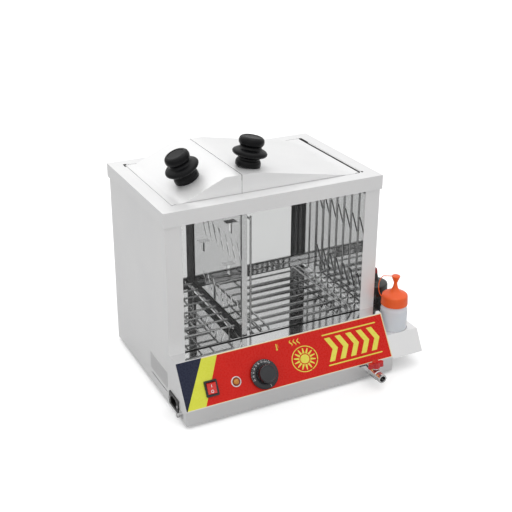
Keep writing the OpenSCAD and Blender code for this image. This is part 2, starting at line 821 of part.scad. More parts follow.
module power_inlet() {
    x = cab_x0;
    color("black") difference() {
        union() {
            translate([x, inlet_y, inlet_z]) rotate([90, 0, -90])
                linear_extrude(2.4) round_rect(inlet_w, inlet_h, 3);
            translate([x, inlet_y, inlet_z]) rotate([90, 0, 90])
                linear_extrude(22) square([socket_w + 3, socket_h + 3], center = true);
        }
        translate([x - 5, inlet_y, inlet_z]) rotate([90, 0, 90]) linear_extrude(21)
            polygon([[-socket_w / 2, -socket_h / 2], [socket_w / 2, -socket_h / 2],
                [socket_w / 2, socket_h / 2 - 5], [socket_w / 2 - 5, socket_h / 2],
                [-socket_w / 2 + 5, socket_h / 2], [-socket_w / 2, socket_h / 2 - 5]]);
        for (s = [-1, 1]) translate([x - 5, inlet_y + s * inlet_screw_y, inlet_z])
            rotate([0, 90, 0]) cylinder(d = 3.2, h = 20);
        for (p = pin_places) translate([x + 10, inlet_y + p[0] - 2, inlet_z + p[1] - 1])
            cube([20, 4, 2]);
    }
}

pin_places = [[-7, -2], [7, -2], [0, 2]];

module inlet_pins() {
    color("silver") for (p = pin_places)
        translate([cab_x0 + 4, inlet_y + p[0] - 2, inlet_z + p[1] - 1]) cube([26, 4, 2]);
}

module inlet_screws() {
    color("silver") for (s = [-1, 1])
        translate([cab_x0 - 2.4, inlet_y + s * inlet_screw_y, inlet_z])
            rotate([0, -90, 0]) screw(3, 9);
}

module earth_terminal() {
    color("silver") translate([cab_x0, earth_y, earth_z]) rotate([0, -90, 0]) {
        translate([0, 0, -8]) cylinder(d = 4, h = 8 + earth_out);
        difference() {
            linear_extrude(1.5) round_rect(12, 16, 2);
            translate([0, 0, -1]) cylinder(d = 4 + 2 * run_gap, h = 4);
        }
        translate([0, 0, 1.5]) difference() {
            linear_extrude(3.2) circle(d = 8, $fn = 6);
            translate([0, 0, -1]) cylinder(d = 4 + 2 * run_gap, h = 6);
        }
        translate([0, 0, 6]) difference() {
            cylinder(d = 9, h = 3);
            translate([0, 0, -1]) cylinder(d = 4 + 2 * run_gap, h = 6);
        }
    }
}

terminal_x = 52;
terminal_y = 60;

module terminal_block() {
    color("ivory") translate([terminal_x, terminal_y, 2 * sheet]) difference() {
        cube([60, 20, 16]);
        for (i = [0:4]) translate([8 + i * 11, 10, 6]) {
            cylinder(d = 5, h = 20);
            rotate([90, 0, 0]) cylinder(d = 4, h = 30, center = true);
        }
    }
}

module rating_plate() {
    color("lightgray") translate([cab_x0, 58, 49]) rotate([90, 0, -90])
        linear_extrude(0.6) round_rect(86, 34, 2);
}

// Insulated leads inside the base
module wiring() {
    $fn = 8;
    lead_d = 2.6;
    block_z = 2 * sheet + 6;
    pin_x = cab_x0 + 30;
    tab_s = control_s - 7;
    stat_s = control_s + 10;
    color("navy") wire([[pin_x, inlet_y + 7, inlet_z - 2], [pin_x + 8, inlet_y + 7, inlet_z - 2],
        [pin_x + 14, terminal_y - 20, block_z + 4], [terminal_x + 8, terminal_y - 6, block_z],
        [terminal_x + 8, terminal_y + 4, block_z]], lead_d);
    color("saddlebrown") wire([[pin_x, inlet_y - 7, inlet_z - 2],
        [pin_x + 8, inlet_y - 7, inlet_z - 2], panel_point(switch_x, tab_s, -48),
        panel_point(switch_x, tab_s, -35)], lead_d);
    color("black") wire([[terminal_x + 30, terminal_y + 4, block_z],
        [terminal_x + 30, terminal_y - 8, block_z], [terminal_x + 56, 20, block_z + 4],
        panel_point(dial_x - 10, stat_s, -sheet - 38),
        panel_point(dial_x - 10, stat_s, -sheet - 26)], lead_d);
    color("firebrick") for (i = [0, 1]) {
        x = heater_x0 + i * 8 * heater_bend;
        hole_x = terminal_x + 41 + i * 11;
        wire([[x, heater_y1 + 30, heater_z], [x, heater_y1 + 44, heater_z],
            [x - 10, heater_y1 + 44, block_z + 6], [hole_x, terminal_y + 30, block_z],
            [hole_x, terminal_y + 16, block_z]], lead_d);
    }
}

// Drain tap

chamber_d = spout_d + 3;
spout_l = 15;
ball_y = -tap_front + spout_l + chamber_d / 2;
ball_d = water_d + 4;
stem_d = 5;
boss_z = tap_z + chamber_d / 2 + 2.5;

module tap_body() {
    color("silver") difference() {
        union() {
            translate([tap_x, -tap_front, tap_z]) rotate([-90, 0, 0])
                cylinder(d = spout_d, h = tap_len + 20);
            translate([tap_x, -tap_front + spout_l, tap_z]) rotate([-90, 0, 0])
                cylinder(d = chamber_d, h = tap_len - spout_l);
            translate([tap_x, -panel_out - 8, tap_z]) rotate([-90, 0, 0])
                linear_extrude(8) circle(d = chamber_d + 4, $fn = 6);
            translate([tap_x, ball_y, tap_z]) cylinder(d = 11, h = boss_z - tap_z);
        }
        translate([tap_x, -tap_front - 1, tap_z]) rotate([-90, 0, 0])
            cylinder(d = water_d, h = tap_len + 30);
        translate([tap_x, -panel_out + 12, tap_z]) rotate([-90, 0, 0])
            cylinder(d = water_d + 3.2, h = 30);
        translate([tap_x, ball_y, tap_z]) sphere(d = ball_d + 2 * run_gap);
        translate([tap_x, ball_y, tap_z]) cylinder(d = stem_d + 2 * run_gap, h = spout_d);
    }
}

// The ball stands closed, with its bore across the water way
module tap_ball() {
    color("gold") translate([tap_x, ball_y, tap_z]) {
        difference() {
            sphere(d = ball_d);
            rotate([0, 90, 0]) cylinder(d = water_d - 3, h = 3 * spout_d, center = true);
        }
        translate([0, 0, ball_d / 2 - 1.5]) cylinder(d = stem_d, h = boss_z - tap_z - ball_d / 2 + 10);
    }
}

module tap_lever() {
    arm = 12;
    color("red") translate([tap_x, ball_y, boss_z + seat_gap]) difference() {
        union() {
            cylinder(d1 = 17, d2 = 14, h = 12);
            translate([-arm, -4, 0]) cube([2 * arm, 8, 10]);
            for (s = [-1, 1]) translate([s * arm, 0, 0]) cylinder(d1 = 10, d2 = 8.6, h = 10);
        }
        translate([0, 0, -1]) cylinder(d = stem_d + 2 * run_gap, h = 10.5);
    }
}

// Bottle shelf and bottles

bottle_ys = [bottle_y, bottle_y + bottle_pitch];

module bottle_shelf() {
    top_y = panel_y(shelf_top);
    low_y = panel_y(shelf_low) < -panel_out ? -panel_out : panel_y(shelf_low);
    hole_d = bottle_d + 2 * bottle_clear;
    outer = [[low_y, shelf_low], [shelf_y1, shelf_low], [shelf_y1, shelf_top],
        [top_y, shelf_top]];
    color("gainsboro") difference() {
        along_x(shelf_x0, shelf_w) polygon(outer);
        along_x(shelf_x0 - 1, shelf_w - sheet + 1) polygon([[low_y + 1.4 * sheet, shelf_low + sheet],
            [shelf_y1 - sheet, shelf_low + sheet], [shelf_y1 - sheet, shelf_top - sheet],
            [top_y + 1.4 * sheet, shelf_top - sheet]]);
        for (y = bottle_ys) translate([bottle_x, y, shelf_top - 3]) cylinder(d = hole_d, h = 10);
    }
    color("gainsboro") difference() {
        for (y = shelf_screw_ys) translate([shelf_x0, y - 7, shelf_low + sheet])
            cube([sheet, 14, shelf_top - shelf_low - 2 * sheet]);
        at_right() shelf_holes(4.4);
    }
}

shelf_mid = (shelf_low + shelf_top) / 2;
shelf_screw_ys = [panel_y(shelf_top) + 11, shelf_y1 - 9 - sheet];

// The screw holes between the shelf and the base, drawn on the left side
module shelf_holes(d) {
    for (y = shelf_screw_ys) translate([frame_w - shelf_x0 - 5, y, shelf_mid])
        rotate([0, 90, 0]) cylinder(d = d, h = 10);
}

module shelf_screws() {
    color("gray") for (y = shelf_screw_ys)
        translate([shelf_x0 + sheet, y, shelf_mid]) rotate([0, 90, 0]) screw(4, 3 * sheet + 2);
}

// A squeeze bottle: a hollow body with a round shoulder and a threaded neck
module bottle(y) {
    r = bottle_d / 2;
    wall = 1.2;
    foot_r = 3;
    translate([bottle_x, y, bottle_z]) rotate_extrude() difference() {
        union() {
            translate([0, 0]) square([r - foot_r, bottle_h]);
            translate([0, foot_r]) square([r, bottle_h - foot_r]);
            translate([r - foot_r, foot_r]) circle(foot_r);
            polygon([[0, bottle_h], [r, bottle_h], [r - 2, bottle_h + 3.5],
                [neck_d / 2 + 2, bottle_h + shoulder_h], [0, bottle_h + shoulder_h]]);
            square([neck_d / 2, bottle_h + shoulder_h + neck_h]);
        }
        translate([0, wall]) square([r - foot_r, bottle_h - wall]);
        translate([0, foot_r]) square([r - wall, bottle_h - foot_r]);
        polygon([[0, bottle_h - touch], [r - wall, bottle_h - touch], [r - 2 - wall, bottle_h + 2.6],
            [neck_d / 2 - wall, bottle_h + shoulder_h - 1], [0, bottle_h + shoulder_h]]);
        square([neck_d / 2 - wall, bottle_h + shoulder_h + neck_h + 1]);
        translate([-50, -1]) square([50, 200]);
    }
}

module front_bottle() { color("thistle") bottle(bottle_ys[0]); }

module rear_bottle() { color("thistle") bottle(bottle_ys[1]); }

cap_skirt_h = 20;
cap_dome_h = 8;
nozzle_h = 22;
tip_d = 17;

// A screw cap with a domed top, a tapering nozzle and a tethered tip
module bottle_cap(y) {
    r = bottle_d / 2 - 0.4;
    waist_z = cap_skirt_h + cap_dome_h + nozzle_h;
    translate([bottle_x, y, cap_z]) {
        rotate_extrude() difference() {
            polygon([[0, 0], [r, 0], [r - 0.8, cap_skirt_h - 2], [r - 3, cap_skirt_h + 1.2],
                [r - 9, cap_skirt_h + 4.4], [7, cap_skirt_h + cap_dome_h],
                [4.6, cap_skirt_h + cap_dome_h + 4], [2.6, waist_z], [0, waist_z]]);
            translate([0, -1]) square([neck_d / 2 + seat_gap, neck_h + 1.4]);
            translate([0, 1]) square([1.2, 2 * waist_z]);
        }
        translate([0, 0, waist_z - 5]) rotate_extrude()
            polygon([[3.6, 0], [4.4, 0], [4, 5], [tip_d / 2, 13], [tip_d / 2, 16],
                [0, 16], [0, 6.2], [3, 6.2], [3, 5]]);
        tether(waist_z + 9.5);
    }
}

// The thin strap that hangs in an arc from the tip, at height `top`, to the cap's skirt
module tether(top) {
    in_x = bottle_d / 2 - tether_r * 0.86;
    rotate(150) translate([in_x, 0, top - tether_r]) rotate([90, 0, 0]) rotate(-40)
        rotate_extrude(angle = 130) translate([tether_r, 0]) circle(d = tether_d);
}

module front_bottle_cap() { color("orangered") bottle_cap(bottle_ys[0]); }

module rear_bottle_cap() { color("darkred") bottle_cap(bottle_ys[1]); }

// Lids

// A lid of folded sheet over the outline `path`, which runs from the hinge to the seam
module lid(path, pin_x, side) {
    last = path[len(path) - 1];
    bottom = pin_z - ear_r;
    module end_wall() {
        difference() {
            union() {
                polygon(concat(path, [[last[0], bottom], [pin_x, bottom],
                    [pin_x - side * ear_r, pin_z]]));
                translate([pin_x, pin_z]) circle(ear_r);
            }
            translate([pin_x, pin_z]) circle(d = hinge_pin_d + 2 * run_gap);
        }
    }
    along_y(lid_y0, lid_y1 - lid_y0)
        folded(concat(path, [last - [0, seam_drop]]), -side * sheet);
    along_y(lid_y0, sheet) end_wall();
    along_y(lid_y1 - sheet, sheet) end_wall();
}

left_path = [[open_x0 + lid_gap, body_h], [left_slope_x0, body_h], [left_slope_x1, lid_top],
    [seam_x - seam_gap / 2, lid_top]];
right_path = [[open_x1 - lid_gap, body_h], [right_slope_x0, body_h], [right_slope_x1, lid_top],
    [seam_x + seam_gap / 2, lid_top]];

// Where a knob stands on its lid: local Z out of the slope
module on_left_slope() {
    translate([left_slope_x0, left_knob_y, body_h]) rotate([0, -left_tilt, 0])
        translate([left_knob_s, 0, 0]) children();
}

module on_right_slope() {
    translate([right_slope_x1, right_knob_y, lid_top]) rotate([0, right_tilt, 0])
        translate([right_knob_s, 0, 0]) children();
}

module left_lid() {
    color("whitesmoke") difference() {
        lid(left_path, left_pin_x, 1);
        on_left_slope() translate([0, 0, -5]) cylinder(d = knob_screw_d + 0.4, h = 10);
    }
}

module right_lid() {
    color("whitesmoke") difference() {
        lid(right_path, right_pin_x, -1);
        on_right_slope() translate([0, 0, -5]) cylinder(d = knob_screw_d + 0.4, h = 10);
    }
}

// Two pins, each riveted in a lid's end wall and turning in the top frame's lip
module hinge_pins(x) {
    for (s = [0, 1]) translate([x, s == 0 ? lid_y0 + sheet : lid_y1 - sheet, pin_z])
        rotate([s == 0 ? 90 : -90, 0, 0]) {
            translate([0, 0, -2]) cylinder(d = hinge_pin_d + 1.2, h = 2);
            cylinder(d = hinge_pin_d, h = lid_gap + 2 * sheet + 1.5);
        }
}

module left_hinge_pins() { color("silver") hinge_pins(left_pin_x); }

module right_hinge_pins() { color("silver") hinge_pins(right_pin_x); }

// A turned knob of three discs with rounded rims and narrow necks between them
module knob() {
    end_r = knob_end_d / 2;
    mid_r = knob_mid_d / 2;
    core_r = end_r * 0.74;
    base_t = 0.21 * knob_h;
    mid_z = 0.45 * knob_h;
    mid_t = 0.2 * knob_h;
    top_t = 0.3 * knob_h;
    difference() {
        rotate_extrude() {
            square([core_r, knob_h - top_t / 2]);
            knob_disc(end_r, 0, base_t, 4);
            knob_disc(mid_r, mid_z - mid_t / 2, mid_t, 5);
            knob_disc(end_r, knob_h - top_t, top_t, 6);
            polygon([[0, base_t], [end_r - 4, base_t], [core_r, base_t + 3.4],
                [core_r + 1, mid_z - mid_t / 2 - 2], [mid_r - 7, mid_z - mid_t / 2],
                [mid_r - 7, mid_z + mid_t / 2], [core_r + 1, mid_z + mid_t / 2 + 3],
                [core_r, knob_h - top_t - 2], [end_r - 5, knob_h - top_t], [0, knob_h - top_t]]);
        }
        translate([0, 0, -1]) cylinder(d = knob_screw_d + 2 * run_gap, h = 19);
        translate([0, 0, knob_h - 1]) cylinder(d = knob_end_d * 0.64, h = 2);
    }
}

// Half a disc's section from z up, t thick, with its rim rounded by radius e
module knob_disc(r, z, t, e) {
    translate([0, z]) square([r - e, t]);
    translate([0, z + e]) square([r, t - 2 * e]);
    for (h = [e, t - e]) translate([r - e, z + h]) circle(e);
}

module left_knob() { color("black") on_left_slope() knob(); }

module right_knob() { color("black") on_right_slope() knob(); }

module knob_screw() {
    translate([0, 0, -sheet]) mirror([0, 0, 1]) screw(knob_screw_d, 15);
}

module left_knob_screw() { color("gray") on_left_slope() knob_screw(); }

module right_knob_screw() { color("gray") on_right_slope() knob_screw(); }

// The whole model stands with its box's lower centre at the origin
translate([-origin_x, -origin_y, foot_h]) {
    base_shell();
    control_panel();
    panel_overlay();
    bottom_plate();
    base_screws();
    feet();
    water_tank();
    heating_element();
    element_clamps();
    drain_pipe();
    left_side_panel();
    right_side_panel();
    left_liner();
    right_liner();
    front_glass();
    rear_glass();
    front_glass_seal();
    rear_glass_seal();
    top_frame();
    divider();
    divider_seal();
    sausage_rack();
    bun_rack();
    thermostat_body();
    thermostat_bulb();
    dial();
    dial_shaft();
    switch_housing();
    switch_rocker();
    pilot_ring();
    pilot_lens();
    power_inlet();
    inlet_pins();
    inlet_screws();
    earth_terminal();
    terminal_block();
    rating_plate();
    tap_body();
    tap_ball();
    tap_lever();
    bottle_shelf();
    shelf_screws();
    left_lid();
    right_lid();
    left_hinge_pins();
    right_hinge_pins();
    left_knob();
    right_knob();
    left_knob_screw();
    right_knob_screw();
    front_bottle();
    rear_bottle();
    front_bottle_cap();
    rear_bottle_cap();
    wiring();
}
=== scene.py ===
# Looks for the steamer cabinet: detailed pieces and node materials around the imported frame.
# Positions are written in millimetres from the top frame's left front corner, at the base's
# lower edge, and P() turns them into the row frame in metres.
import json
import math
import bpy
import bmesh
from mathutils import Matrix, Vector

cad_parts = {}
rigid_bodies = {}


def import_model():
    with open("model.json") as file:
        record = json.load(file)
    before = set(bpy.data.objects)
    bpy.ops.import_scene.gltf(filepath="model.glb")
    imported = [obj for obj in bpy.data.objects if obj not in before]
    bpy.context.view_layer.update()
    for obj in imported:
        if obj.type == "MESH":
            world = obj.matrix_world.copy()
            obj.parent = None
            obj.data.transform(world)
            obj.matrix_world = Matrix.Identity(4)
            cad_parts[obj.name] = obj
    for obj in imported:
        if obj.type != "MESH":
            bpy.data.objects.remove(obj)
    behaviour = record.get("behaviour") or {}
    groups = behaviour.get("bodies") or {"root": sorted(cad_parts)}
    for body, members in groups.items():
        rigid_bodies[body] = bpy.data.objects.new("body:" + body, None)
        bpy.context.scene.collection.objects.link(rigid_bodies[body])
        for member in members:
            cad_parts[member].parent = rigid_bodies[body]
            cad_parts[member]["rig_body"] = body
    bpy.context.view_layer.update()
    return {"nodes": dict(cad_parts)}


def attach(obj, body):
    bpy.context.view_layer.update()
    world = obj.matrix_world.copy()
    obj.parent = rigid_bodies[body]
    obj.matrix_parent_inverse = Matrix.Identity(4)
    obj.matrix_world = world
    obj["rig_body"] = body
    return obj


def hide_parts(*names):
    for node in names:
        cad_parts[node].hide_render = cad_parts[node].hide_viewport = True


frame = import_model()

MM = 0.001
ORIGIN = (255.85, 89.4, -6.0)
CABINET = "cabinet"
BASE_TOP = 105.5
FRAME_TOP = 388.5
PANEL_DROP, PANEL_RUN = 75.5, 48.9
PANEL_TOP_Y = -25.3
TILT = math.atan2(PANEL_DROP, PANEL_RUN)
FILM_WIDTH, FILM_LENGTH = 450.0, 90.0


def P(x, y, z):
    return Vector(((x - ORIGIN[0]) * MM, (y - ORIGIN[1]) * MM, (z - ORIGIN[2]) * MM))


def drawn(point):
    """The opposite of P(): a point of the row frame in the millimetres used here."""
    return tuple(c / MM + o for c, o in zip(point, ORIGIN))


def place(origin, rotation=None):
    """A matrix that puts a piece drawn in millimetres at a point of the row frame."""
    m = Matrix.Translation(origin)
    if rotation is not None:
        m = m @ rotation.to_4x4()
    return m @ Matrix.Scale(MM, 4)


def on_panel(x, s, h=0.0):
    """Local X to the right, Y up the slope and Z out of the sloping panel, in millimetres."""
    normal = Vector((0, -math.sin(TILT), math.cos(TILT)))
    foot = P(x, PANEL_TOP_Y - s * math.cos(TILT), BASE_TOP - s * math.sin(TILT))
    return place(foot + normal * h * MM, Matrix.Rotation(TILT, 3, "X"))


# Node materials

def new_material(name):
    m = bpy.data.materials.new(name)
    m.use_nodes = True
    m.node_tree.nodes.clear()
    return m, m.node_tree


def link(nt, a, b):
    nt.links.new(a, b)


def math_node(nt, op, a, b=None):
    n = nt.nodes.new("ShaderNodeMath")
    n.operation = op
    for i, v in enumerate((a, b)):
        if isinstance(v, bpy.types.NodeSocket):
            link(nt, v, n.inputs[i])
        elif v is not None:
            n.inputs[i].default_value = v
    return n.outputs[0]


def mix_shaders(nt, fac, first, second):
    n = nt.nodes.new("ShaderNodeMixShader")
    for socket, source in zip(n.inputs, (fac, first, second)):
        link(nt, source, socket)
    return n.outputs[0]


def principled(nt):
    out = nt.nodes.new("ShaderNodeOutputMaterial")
    b = nt.nodes.new("ShaderNodeBsdfPrincipled")
    link(nt, b.outputs[0], out.inputs[0])
    return b


def ramp(nt, fac, stops):
    n = nt.nodes.new("ShaderNodeValToRGB")
    e = n.color_ramp.elements
    while len(e) < len(stops):
        e.new(0.5)
    for i, (pos, col) in enumerate(stops):
        e[i].position = pos
        e[i].color = (*col, 1)
    link(nt, fac, n.inputs[0])
    return n.outputs[0]


def grey(v):
    return (v, v, v)


def noise(nt, scale, detail, stretch=(1, 1, 1)):
    co = nt.nodes.new("ShaderNodeTexCoord")
    mp = nt.nodes.new("ShaderNodeMapping")
    mp.inputs["Scale"].default_value = stretch
    link(nt, co.outputs["Object"], mp.inputs[0])
    n = nt.nodes.new("ShaderNodeTexNoise")
    n.inputs["Scale"].default_value = scale
    n.inputs["Detail"].default_value = detail
    link(nt, mp.outputs[0], n.inputs["Vector"])
    return n.outputs["Fac"]


def shader(name, low, high, rough=(0.3, 0.4), metallic=0.0, scale=40, stretch=(1, 1, 1),
           bump=0.0, bump_scale=400, bump_stretch=None, coat=0.0, specular=0.5,
           transmission=0.0, subsurface=0.0):
    """A Principled material whose colour and roughness drift between two values."""
    m, nt = new_material(name)
    b = principled(nt)
    drift = noise(nt, scale, 4, stretch)
    link(nt, ramp(nt, drift, [(0.3, low), (0.7, high)]), b.inputs["Base Color"])
    fine = noise(nt, scale * 2.7, 3, stretch)
    link(nt, ramp(nt, fine, [(0.3, grey(rough[0])), (0.7, grey(rough[1]))]),
         b.inputs["Roughness"])
    for socket, value in (("Metallic", metallic), ("Coat Weight", coat),
                          ("Coat Roughness", 0.05), ("Specular IOR Level", specular),
                          ("Transmission Weight", transmission),
                          ("Subsurface Weight", subsurface)):
        b.inputs[socket].default_value = value
    if bump:
        grain = noise(nt, bump_scale, 2, bump_stretch or stretch)
        bn = nt.nodes.new("ShaderNodeBump")
        bn.inputs["Strength"].default_value = 1.0
        bn.inputs["Distance"].default_value = bump * MM
        link(nt, grain, bn.inputs["Height"])
        link(nt, bn.outputs[0], b.inputs["Normal"])
    return m


def steel(name, tone, rough, grain="x", bump=0.003, metallic=1.0):
    """Brushed sheet: a fine grain along one axis, or a soft wave where grain is None."""
    stretch = {"x": (0.02, 1, 1), "y": (1, 0.02, 1), "z": (1, 1, 0.02)}.get(grain, (1, 1, 1))
    return shader(name, [tone * c for c in (0.995, 0.995, 1.0)],
                  [min(1, tone * 1.03 * c) for c in (1.0, 1.0, 0.998)],
                  rough=rough, metallic=metallic, scale=9,
                  bump=bump, bump_scale=700 if grain else 9, bump_stretch=stretch)


def glass(name, tint):
    """Clear glass with a faint smear; lamp light goes straight through it."""
    m, nt = new_material(name)
    out = nt.nodes.new("ShaderNodeOutputMaterial")
    b = nt.nodes.new("ShaderNodeBsdfPrincipled")
    smear = noise(nt, 14, 5)
    link(nt, ramp(nt, smear, [(0.3, tint), (0.8, [0.985 * t for t in tint])]),
         b.inputs["Base Color"])
    b.inputs["Transmission Weight"].default_value = 1.0
    b.inputs["IOR"].default_value = 1.3
    b.inputs["Roughness"].default_value = 0.0
    clear = nt.nodes.new("ShaderNodeBsdfTransparent")
    clear.inputs[0].default_value = (*[0.97 * t for t in tint], 1)
    path = nt.nodes.new("ShaderNodeLightPath")
    lamp_light = math_node(nt, "MAXIMUM", path.outputs["Is Shadow Ray"],
                           path.outputs["Is Diffuse Ray"])
    link(nt, mix_shaders(nt, lamp_light, b.outputs[0], clear.outputs[0]), out.inputs[0])
    return m


MATS = {
    "body": steel("satin_steel", 0.81, (0.42, 0.50), "z", 0.002, 0.5),
    "front": steel("front_steel", 0.76, (0.32, 0.40), "x", 0.003, 0.75),
    "lid": steel("lid_steel", 0.84, (0.42, 0.50), "y", 0.0015, 0.45),
    "frame": steel("frame_steel", 0.80, (0.42, 0.50), "x", 0.0015, 0.4),
    "ledge": steel("mirror_steel", 0.80, (0.05, 0.09), None, 0.002),
    "inner": steel("bright_steel", 0.68, (0.03, 0.06), None, 0.002),
    # Near-black painted shade for the frame's openings, the lid seam, the groove and the hinge
    # marks.
    "shadow": shader("painted_gap_shade", grey(0.004), grey(0.008), (0.6, 0.7), 0, 60,
                     specular=0.15),
    "plain": steel("mill_steel", 0.50, (0.30, 0.45), "y"),
    "dark_steel": steel("shaded_steel", 0.16, (0.12, 0.22), "z"),
    # Plated wire; its tone is lowered to stand for the dark room it reflects: painted
    # reflection.
    "wire": steel("plated_wire_painted_dark_reflection", 0.42, (0.07, 0.12), None, 0.004),
    "chrome": steel("chrome", 0.78, (0.04, 0.09), None, 0.01),
    "zinc": steel("zinc", 0.58, (0.28, 0.42), "y"),
    "sheath": shader("heater_sheath", (0.30, 0.26, 0.23), (0.42, 0.38, 0.35),
                     (0.3, 0.5), 1.0, 60),
    "copper": shader("copper", (0.62, 0.33, 0.2), (0.78, 0.45, 0.3), (0.25, 0.4), 1.0, 50),
    "brass": shader("brass", (0.66, 0.5, 0.24), (0.8, 0.64, 0.35), (0.15, 0.3), 1.0, 60),
    "seal": shader("seal", grey(0.005), grey(0.011), (0.5, 0.65), 0, 60, bump=0.01,
                   specular=0.2),
    "rubber": shader("foot_rubber", grey(0.015), grey(0.035), (0.6, 0.8), 0, 60, bump=0.04),
    "ivory": shader("ivory_moulding", (0.72, 0.69, 0.58), (0.8, 0.77, 0.67), (0.4, 0.5)),
    "black": shader("black_moulding", grey(0.008), grey(0.016), (0.28, 0.4), 0, 50,
                    bump=0.004, coat=0.1),
    "knob": shader("knob_plastic", (0.0025, 0.0025, 0.003), (0.005, 0.005, 0.006),
                   (0.26, 0.34), 0, 40, bump=0.004, specular=0.17),
    "dial": shader("dial_plastic", (0.005, 0.0055, 0.008), (0.01, 0.011, 0.015),
                   (0.14, 0.22), 0, 50, coat=0.3),
    "white": shader("white_moulding", grey(0.78), grey(0.86), (0.2, 0.3), 0, 60, coat=0.3),
    "print": shader("white_print", grey(0.8), grey(0.9), (0.4, 0.5), 0, 200),
    "rocker": shader("rocker_red", (0.62, 0.015, 0.012), (0.78, 0.03, 0.022), (0.1, 0.18),
                     0, 60, coat=0.5),
    "lever": shader("lever_red", (0.5, 0.008, 0.01), (0.62, 0.015, 0.018), (0.15, 0.25),
                    0, 60, coat=0.4),
    "orange": shader("cap_orange", (0.90, 0.10, 0.010), (0.94, 0.125, 0.014), (0.28, 0.4),
                     0, 50, bump=0.006, subsurface=0.05),
    "dark_red": shader("cap_red", (0.2, 0.008, 0.01), (0.28, 0.015, 0.018), (0.28, 0.4),
                       0, 50, bump=0.006),
    "dark_bottle": shader("dark_bottle", (0.012, 0.011, 0.011), (0.022, 0.019, 0.018),
                          (0.2, 0.3), 0, 30, coat=0.3),
    "yellow": shader("print_yellow", (0.78, 0.70, 0.06), (0.82, 0.75, 0.085), (0.25, 0.35),
                     0, 80, coat=0.2),
    "plate": steel("plate_metal", 0.70, (0.32, 0.44), "y"),
    "lens": shader("amber_lens", (0.75, 0.24, 0.01), (0.9, 0.36, 0.02), (0.08, 0.16),
                   0, 90, coat=0.5, transmission=0.35),
    "bottle": shader("bottle_plastic", (0.92, 0.88, 0.90), (0.95, 0.92, 0.93), (0.3, 0.42),
                     0, 22, bump=0.01, transmission=0.12, subsurface=0.2),
    "window": glass("window_glass", (0.865, 0.87, 0.868)),
}


def overlay_material():
    """Printed film: dark blue, yellow and red fields inside a thin cream border.
    The mesh's UV map runs from 0 to 1 along the panel and down its slope."""
    m, nt = new_material("printed_film")
    b = principled(nt)
    uv = nt.nodes.new("ShaderNodeUVMap")
    sep = nt.nodes.new("ShaderNodeSeparateXYZ")
    link(nt, uv.outputs[0], sep.inputs[0])
    x = math_node(nt, "MULTIPLY", sep.outputs[0], FILM_WIDTH)
    s = math_node(nt, "MULTIPLY", sep.outputs[1], FILM_LENGTH)

    def edge(top, slope):
        """The slanted edge of a field: its x falls by slope for each millimetre down."""
        return math_node(nt, "SUBTRACT", top, math_node(nt, "MULTIPLY", s, slope))

    in_blue = math_node(nt, "LESS_THAN", x, edge(55.0, 0.557))
    in_yellow = math_node(nt, "LESS_THAN", x, edge(86.5, 0.499))
    near_side = math_node(nt, "GREATER_THAN", x, 444.2)
    near_top = math_node(nt, "LESS_THAN", s, 2.1)
    near_low = math_node(nt, "GREATER_THAN", s, 87.8)
    border = math_node(nt, "MAXIMUM", math_node(nt, "MAXIMUM", near_side, near_top), near_low)
    drift = noise(nt, 60, 3)

    def tint(a, b2):
        return ramp(nt, drift, [(0.3, a), (0.7, b2)])

    def mix(fac, a, b2):
        n = nt.nodes.new("ShaderNodeMix")
        n.data_type = "RGBA"
        link(nt, fac, n.inputs[0])
        link(nt, a, n.inputs[6])
        link(nt, b2, n.inputs[7])
        return n.outputs[2]

    red = tint((0.63, 0.012, 0.006), (0.66, 0.015, 0.008))
    yellow = tint((0.70, 0.72, 0.065), (0.74, 0.76, 0.08))
    blue = tint((0.017, 0.021, 0.046), (0.020, 0.025, 0.051))
    cream = tint((0.84, 0.72, 0.36), (0.88, 0.77, 0.42))
    colour = mix(in_yellow, red, yellow)
    colour = mix(border, colour, cream)
    colour = mix(in_blue, colour, blue)
    link(nt, colour, b.inputs["Base Color"])
    rough = noise(nt, 300, 2)
    link(nt, ramp(nt, rough, [(0.3, grey(0.24)), (0.7, grey(0.32))]), b.inputs["Roughness"])
    b.inputs["Specular IOR Level"].default_value = 0.2
    return m


# Mesh helpers

def new_object(name, data):
    o = bpy.data.objects.new(name, data)
    bpy.context.scene.collection.objects.link(o)
    return o


def finish_mesh(name, bm, material, body, matrix=None, angle=35.0, nodes=()):
    """Turns a bmesh into a piece that rides on a body and may stand for CAD nodes."""
    if matrix is not None:
        bmesh.ops.transform(bm, matrix=matrix, verts=bm.verts)
    bmesh.ops.recalc_face_normals(bm, faces=bm.faces)
    me = bpy.data.meshes.new(name)
    bm.to_mesh(me)
    bm.free()
    for f in me.polygons:
        f.use_smooth = True
    me.set_sharp_from_angle(angle=math.radians(angle))
    o = new_object(name, me)
    me.materials.append(material)
    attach(o, body)
    if nodes:
        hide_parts(*nodes)


def apply_modifiers(o):
    dg = bpy.context.evaluated_depsgraph_get()
    me = bpy.data.meshes.new_from_object(o.evaluated_get(dg))
    old = o.data
    o.modifiers.clear()
    o.data = me
    bpy.data.meshes.remove(old)


def even_shading(o, angle=38.0):
    """Smooth shading that leaves large flat faces flat."""
    for f in o.data.polygons:
        f.use_smooth = True
    o.data.set_sharp_from_angle(angle=math.radians(angle))
    wn = o.modifiers.new("normals", "WEIGHTED_NORMAL")
    wn.keep_sharp = True
    wn.weight = 100
    apply_modifiers(o)


